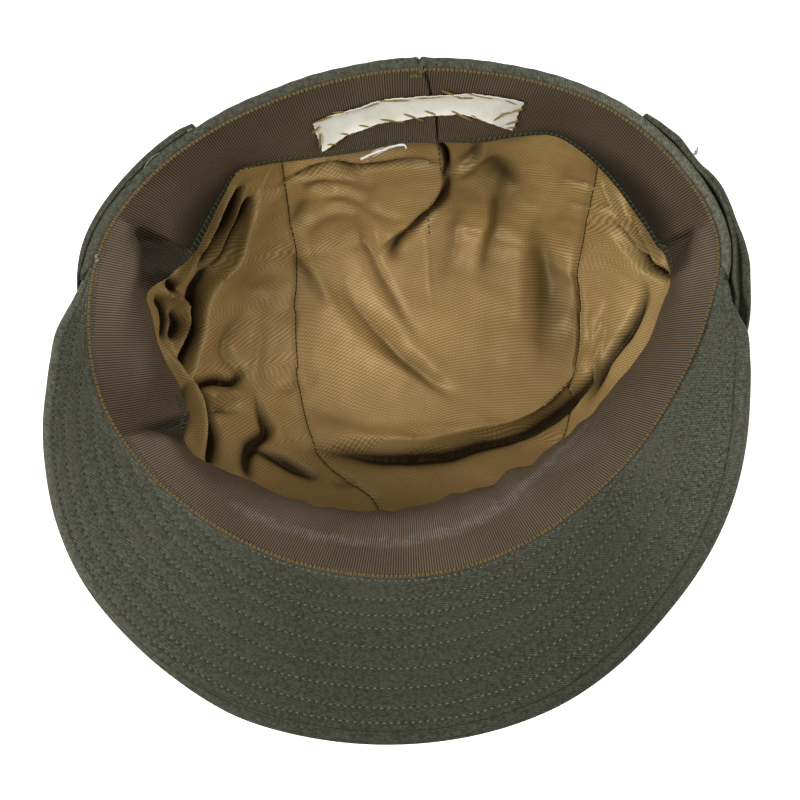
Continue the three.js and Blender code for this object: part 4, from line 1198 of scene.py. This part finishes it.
def lining_points(disc):
    """The lining's visible face, and the painted shade of each place in a fold."""
    base = eased_point(disc)
    normals = shell_normals(disc, 9.0)
    height, painted_crease_shade = fold_heights(base, normals)
    swell = 0.45 * ripples(base, 26.0, 3) + 0.14 * ripples(base, 9.0, 5)
    fullness = 2.4 + 2.4 * smoothstep(70.0, 20.0, base[..., 2]) + 2.0 * smoothstep(-55.0, -70.0, disc[..., 0])
    top_fade = smoothstep(61.0, 43.0, base[..., 2])
    lift = LINING_DEPTH + (fullness + height + swell) * top_fade
    lift = LINING_FLOOR + 0.8 * np.logaddexp(0.0, (lift - LINING_FLOOR) / 0.8)
    return base + normals * lift[..., None], painted_crease_shade


def build_lining():
    """Three panels.  Painted shade darkens the back, the floor's right and the
    front, and a painted highlight pales the right side."""
    for panel, side in PANELS:
        disc = panel_disc(side, LINING_TOP, LINING_ROWS, LINING_COLUMNS[panel])
        points, painted_crease_shade = lining_points(disc)
        points -= shell_normals(disc) * bell(seam_distance(points, side), 1.1)[..., None]
        x, y = disc[..., 0], disc[..., 1]
        # Painted shade in broad patches at the back, on the floor's right and along the front.
        painted_shade_patches = (0.27 * bell(x - 22, 30.0) * smoothstep(44.0, 66.0, y)
                   + 0.3 * bell(x - 38, 10.0) * bell(y - 14, 24.0) + 0.25 * smoothstep(-30.0, -60.0, y))
        # Painted shade from the folds and the patches darkens the lining, and a painted highlight pales its
        # right side.
        cloth_piece(f"lining_cloth_{panel}", points, panel_uv(points), LINING_THICKNESS, "lining",
                    LINING_CLOTH, f"lining_{panel}", soil=np.clip(painted_crease_shade / 5.0 + painted_shade_patches, 0.0, 1.0),
                    faded=0.85 * bell(x - 82, 16.0) * bell(y - 8, 34.0))
    # The seams and the dart get rows of stitches in near-black, painted shade in their grooves.
    rows = []
    for disc, sink, pitch, length, width in (
            (seam_path(-1, 122.0, 400), 0.75, 2.2, 2.5, 0.3), (seam_path(1, 122.0, 400), 0.75, 2.2, 2.5, 0.3),
            (smooth_line(BACK_DART, 80), -0.05, 2.0, 1.8, 0.36)):
        normals = shell_normals(disc[None])[0]
        line = lining_points(disc[None])[0][0] - normals * sink
        rows.append(stitch_row("seam", line, normals, pitch, (length, width, width)))
    finish_piece(join("lining_seam_stitches", *rows), "lining", SEAM_SHADE)


def build_crown():
    """Three plain panels that sink at their seams and rest on the flat."""
    for panel, side in PANELS:
        disc = panel_disc(side, CROWN_TOP, CROWN_ROWS, CROWN_COLUMNS[panel])[:, ::-1]
        base = disc_point(disc)
        rise = smoothstep(1.0, 10.0, base[..., 2])
        soft = 0.5 * ripples(base, 40.0, 11) * rise
        dip = 0.9 * bell(seam_distance(base, -side), 1.3)
        points = base - shell_normals(disc) * (soft - dip * rise)[..., None]
        points[..., 2] = np.maximum(points[..., 2], 0.02)
        cloth_piece(f"crown_wool_{panel}", points, panel_uv(points), CROWN_THICKNESS, "wool", WOOL,
                    f"crown_{panel}")


# ---------------------------------------------------------------------------
# Name tape and inner tag
# ---------------------------------------------------------------------------

# Name tape: its torn upper and lower edges, measured down the sweatband.
TAPE = table(
    ("angle", "upper", "lower"),
    (152.3, 12.4, 30.2), (154, 11.2, 28.5), (155.5, 10.4, 26.6), (157.5, 10.0, 24.4), (161, 9.8, 22.4),
    (164.5, 10.1, 21.2), (169, 11.2, 21.3), (172.2, 11.9, 21.7), (174, 12.2, 22.2), (177.5, 12.4, 23.3),
    (182.5, 12.5, 23.8), (186.8, 12.7, 23.9), (190.2, 13.2, 24.4), (193.8, 13.9, 25.2), (196.8, 14.6, 26.6),
    (199.5, 15.2, 28.8), (202.5, 16.1, 31.4), (204.4, 17.0, 32.6))

# Long hand stitches over the tape's edge: angle and depth of both ends.
WHIP_STITCHES = (
    (202.5, 29.7, 200.0, 30.1), (198.2, 25.2, 195.0, 26.8), (192.8, 22.8, 189.0, 25.2),
    (186.8, 22.0, 180.4, 25.2), (180.4, 20.9, 175.2, 24.8), (174.8, 19.9, 170.6, 22.4),
    (171.2, 21.8, 167.3, 21.5), (168.0, 19.5, 162.5, 23.8), (162.8, 21.0, 157.4, 25.6),
    (204.6, 16.6, 199.2, 15.1), (198.7, 13.4, 194.8, 15.0), (193.2, 14.6, 187.0, 13.6),
    (186.8, 12.4, 178.8, 14.2), (176.8, 13.4, 169.5, 11.6), (171.2, 9.2, 166.3, 12.4),
    (167.0, 12.6, 163.5, 12.0), (164.8, 9.8, 159.0, 11.4), (157.7, 9.8, 153.8, 13.6),
    (153.9, 18.4, 151.9, 16.3), (154.2, 26.2, 151.8, 24.2), (154.0, 28.4, 151.7, 28.6),
    (158.0, 24.6, 155.4, 19.5), (156.0, 19.7, 154.0, 18.9), (205.3, 21.7, 203.0, 18.9),
    (203.4, 22.6, 204.9, 31.0))


def on_the_ribbon(places, proud):
    """Points and normals of the sweatband at places given by angle and depth."""
    points = []
    normals = []
    for angle, down in places:
        patch = ribbon_grid(angle + np.array([-0.4, 0.0, 0.4]), down + np.array([-0.5, 0.0, 0.5]))
        normals.append(grid_normals(patch)[1, 1])
        points.append(patch[1, 1] + normals[-1] * proud)
    return np.array(points), np.array(normals)


def build_name_tape():
    """A ragged tape that lies on the ribbon and curls at its edges, and the
    hand stitches that hold it."""
    columns, rows = TAPE_GRID
    angles = np.linspace(TAPE["angle"][0], TAPE["angle"][-1], columns)
    upper = smooth(TAPE, "upper", angles)
    lower = smooth(TAPE, "lower", angles)
    share = np.linspace(0.0, 1.0, rows)[:, None]
    run = angles * TAPE_DEGREE
    edge = (2 * share - 1) ** 10 * np.sign(share - 0.5)
    ragged = 0.1 * np.sin(run / 1.7) * np.sin(run / 4.7 + 0.5) + 0.1 * np.sin(run / 0.53 + 1.0)
    downs = upper + (lower - upper) * share + edge * ragged
    fine = np.linspace(0.0, RIBBON_WIDTH, 120)
    grid = ribbon_grid(angles, fine)
    points, ups = (
        np.stack([along_path(downs[:, k], fine, block[:, k]) for k in range(columns)], axis=1)
        for block in (grid, grid_normals(grid)))
    at_end = smoothstep(angles[6], angles[0], angles) + smoothstep(angles[-7], angles[-1], angles)
    crooked = 0.12 * (np.sin(share * 9.0 + 1.0) + np.sin(share * 31.0)) * at_end
    points += np.cross(np.array([0.0, 0.0, 1.0]), ups) * (crooked * 1.5)[..., None]
    rim = np.abs(2 * share - 1)
    curl = (0.35 + 0.15 * np.sin(run / 3.1) + 0.15 * np.sin(run / 4.9 + 2.0)) * rim ** 3
    creases = 0.18 * np.sin(run / 2.3 + 5.0 * share) * np.sin(run / 5.7)
    points += ups * (0.75 + 0.35 * rim ** 4 + curl + creases)[..., None]
    cloth_piece("name_tape_cotton", points, cloth_measure(run, share * TAPE_WIDTH), TAPE_THICKNESS, "tape",
                TAPE_CLOTH, "name_tape")

    ends = np.array(WHIP_STITCHES)
    starts, start_normals = on_the_ribbon(ends[:, :2], 1.15)
    stops, stop_normals = on_the_ribbon(ends[:, 2:], 1.15)
    runs = stops - starts
    lengths = np.linalg.norm(runs, axis=1)
    threads = stitches("name_tape_whip_stitches", (starts + stops) / 2, unit(runs),
                       square_to(runs, start_normals + stop_normals), (lengths * 1.12, 0.85, 0.7))
    finish_piece(threads, "tape", TAN_THREAD)


# Frayed sliver of the inner tag: angle, and how far it hangs past the sweatband.
SLIVER = table(
    ("angle", "hang"),
    (179.6, 1.7), (180.0, 0.7), (181.0, 0.3), (184.5, 0.5), (187.8, 0.9), (191.0, 1.4), (194.4, 2.2))


def build_inner_tag():
    """A thin uneven sliver of tape with loose frays along it."""
    columns, rows = TAG_GRID
    angles = np.linspace(SLIVER["angle"][0], SLIVER["angle"][-1], columns)
    hang = smooth(SLIVER, "hang", angles)
    edge = ribbon_grid(angles, np.array([RIBBON_WIDTH - 0.6, RIBBON_WIDTH]))
    run = arc_lengths(edge[:1], 1)[0]
    inward = -outward(angles)
    line = edge[1] + inward * hang[:, None]
    line[:, 2] -= 0.6 + 0.3 * hang
    width = 0.36 + 0.16 * np.sin(run / 0.9) * np.sin(run / 2.3)
    width *= smoothstep(0.0, 1.5, run) * 0.7 + 0.3
    share = np.linspace(-1.0, 1.0, rows)[:, None]
    points = line + inward * (share * width * 0.48)[..., None]
    points[..., 2] += 0.25 * (1 - share ** 2) + 0.12 * np.sin(run / 0.55) * share
    cloth_piece("inner_tag_cotton", points[::-1], cloth_measure(run, share), TAG_THICKNESS, "tape",
                COTTON_THREAD, "inner_tag")
    chance = np.random.default_rng(8)
    frays = []
    for k in range(7):
        start = chance.integers(0, 40)
        stop = min(start + chance.integers(14, 30), columns - 1)
        part = slice(start, stop)
        thread = line[part] + inward[part] * chance.uniform(-0.9, 0.9)
        thread += inward[part] * (0.3 * np.sin(run[part] / 1.6 + k))[:, None]
        thread[:, 2] += chance.uniform(0.2, 0.6)
        normals = path_normals(thread, np.array([0.0, 0.0, 1.0]))
        frays.append(stitch_row("fray", thread, normals, 0.8, (1.1, 0.17, 0.17)))
    finish_piece(join("inner_tag_frays", *frays), "tape", COTTON_THREAD)


def rim_place(angle, beyond, height):
    """A place beyond the outer face of the side band's rim."""
    return outward(angle) * (stitch_radius(angle) + RIM_ROLL + beyond) + np.array([0.0, 0.0, height])


def loose_thread(name, places, width, material, pitch=0.9):
    """A thread that runs through places, laid as short overlapping twists."""
    path = smooth_line(places, 40)
    normals = path_normals(path, np.array([0.05, 0.02, 1.0]))
    row = stitch_row(name, path, normals, pitch, (pitch * 1.45, width, width), slant=12)
    finish_piece(row, "wool", material)


# Tacks that hold the cuff's corner: name, width, thread, and places on the rim.
TACKS = (
    ("cuff_tack_left", 0.5, TACK_THREAD,
     ((-124.6, -0.5, 83.2), (-123.4, -0.2, 84.0), (-121.8, -0.4, 84.1), (-120.4, -0.9, 83.4))),
    ("cuff_tack_middle", 0.36, GREEN_THREAD,
     ((-117.8, -0.9, 83.3), (-116.6, -0.5, 83.9), (-115.4, -0.8, 83.4))),
    ("cuff_end_stitch", 0.75, TACK_THREAD,
     ((-132.2, -0.6, 83.6), (-131.7, -0.3, 84.3), (-131.2, -0.4, 83.8))),
    ("cuff_end_stitch_low", 0.5, TACK_THREAD, ((-132.4, -2.2, 84.0), (-132.0, -2.0, 84.5))),
)


def knots_on_ribbon(name, places, proud, runs, size, material):
    """Knots on the sweatband, each turned the way its thread runs."""
    centres, normals = on_the_ribbon(places, proud)
    runs = np.array(runs)
    finish_piece(stitches(name, centres, runs, square_to(runs, normals), size), "ribbon", material)


def build_small_threads():
    """Knots, tacks and loose ends that show round the rim."""
    knots_on_ribbon("sweatband_knots", ((178.3, 2.6), (177.6, 2.2), (176.9, 2.7), (176.3, 0.5)), 0.35,
                    unit(np.array([[1.0, 0.3, 0.0], [0.6, -0.8, 0.1], [1.0, -0.2, 0.1], [1.0, 0.1, 0.0]])),
                    (2.3, 1.5, 0.8), KNOT_THREAD)
    knots_on_ribbon("sweatband_side_knot", ((-101.8, -0.5), (-101.1, 0.1)), 0.4,
                    [[0.2, 1.0, 0.0], [0.8, 0.6, 0.0]], (1.7, 1.1, 0.8), TACK_THREAD)
    for name, width, thread, places in TACKS:
        loose_thread(name, [rim_place(*place) for place in places], width, thread)
    root = rim_place(120.2, 1.6, 82.4)
    for k, reach in enumerate(((1.0, 1.5, 0.6), (1.7, 2.4, 1.2), (1.5, 1.2, 1.6))):
        tip = root + np.array(reach)
        middle = (root + tip) / 2 + np.array([0.6, -0.2, 0.7])
        loose_thread(f"cuff_loose_end_{k}", [root, middle, tip], 0.7, FRAY_THREAD, pitch=0.6)


# ---------------------------------------------------------------------------
# Floor, light and camera
# ---------------------------------------------------------------------------

# Softboxes: place and size in metres, and power in watts.
LIGHTS = (
    ("left_softbox", (-0.82, -0.2, 1.02), 0.35, 13.5),
    ("right_softbox", (0.92, -0.2, 0.95), 0.45, 6.5),
    ("back_softbox", (0.1, 0.85, 1.0), 0.4, 2.2),
)
LIGHT_AIM = Vector((0.0, 0.0, 0.06))
SURROUND_STRENGTH = 0.54
CAMERA_PLACE = (-0.00167, -0.078, 0.8421)
CAMERA_TILT = 4.0            # degrees from straight down
CAMERA_LENS = 108.8          # focal length and sensor, in millimetres
CAMERA_SENSOR = 36.0


def build_stage():
    """A sheet of white paper, a soft white surround and three softboxes."""
    deselect()
    bpy.ops.mesh.primitive_plane_add(size=6.0, location=(0.0, 0.0, -0.0005))
    floor = bpy.context.object
    floor.name = "studio_floor"
    paper = new_material("matt_white_paper")
    shader = node(paper, "BsdfPrincipled", {
        "Base Color": srgb("#f4f4f4"), "Roughness": 0.9, "Specular IOR Level": 0.2,
        "Emission Color": srgb("#ffffff"), "Emission Strength": 0.7})
    node(paper, "OutputMaterial", {"Surface": shader.outputs[0]})
    floor.data.materials.append(paper)

    world = bpy.data.worlds.new("soft_studio")
    world.use_nodes = True
    background = world.node_tree.nodes["Background"]
    background.inputs["Color"].default_value = srgb("#ffffff")
    background.inputs["Strength"].default_value = SURROUND_STRENGTH
    bpy.context.scene.world = world

    for name, place, size, power in LIGHTS:
        deselect()
        bpy.ops.object.light_add(type="AREA", location=place)
        light = bpy.context.object
        light.name = name
        light.data.size = size
        light.data.energy = power
        light.rotation_euler = (LIGHT_AIM - light.location).to_track_quat("-Z", "Y").to_euler()


def build_camera():
    deselect()
    bpy.ops.object.camera_add(location=CAMERA_PLACE, rotation=(math.radians(CAMERA_TILT), 0.0, 0.0))
    camera = bpy.context.object
    camera.name = "product_camera"
    camera.data.lens = CAMERA_LENS
    camera.data.sensor_width = CAMERA_SENSOR
    bpy.context.scene.camera = camera


build_sweatband()
build_sweatband_stitching()
build_side_band()
build_cuff()
build_peak_under()
build_peak_top()
build_lining()
build_crown()
build_name_tape()
build_inner_tag()
build_small_threads()
build_stage()
build_camera()
bpy.context.scene.view_settings.view_transform = "Standard"
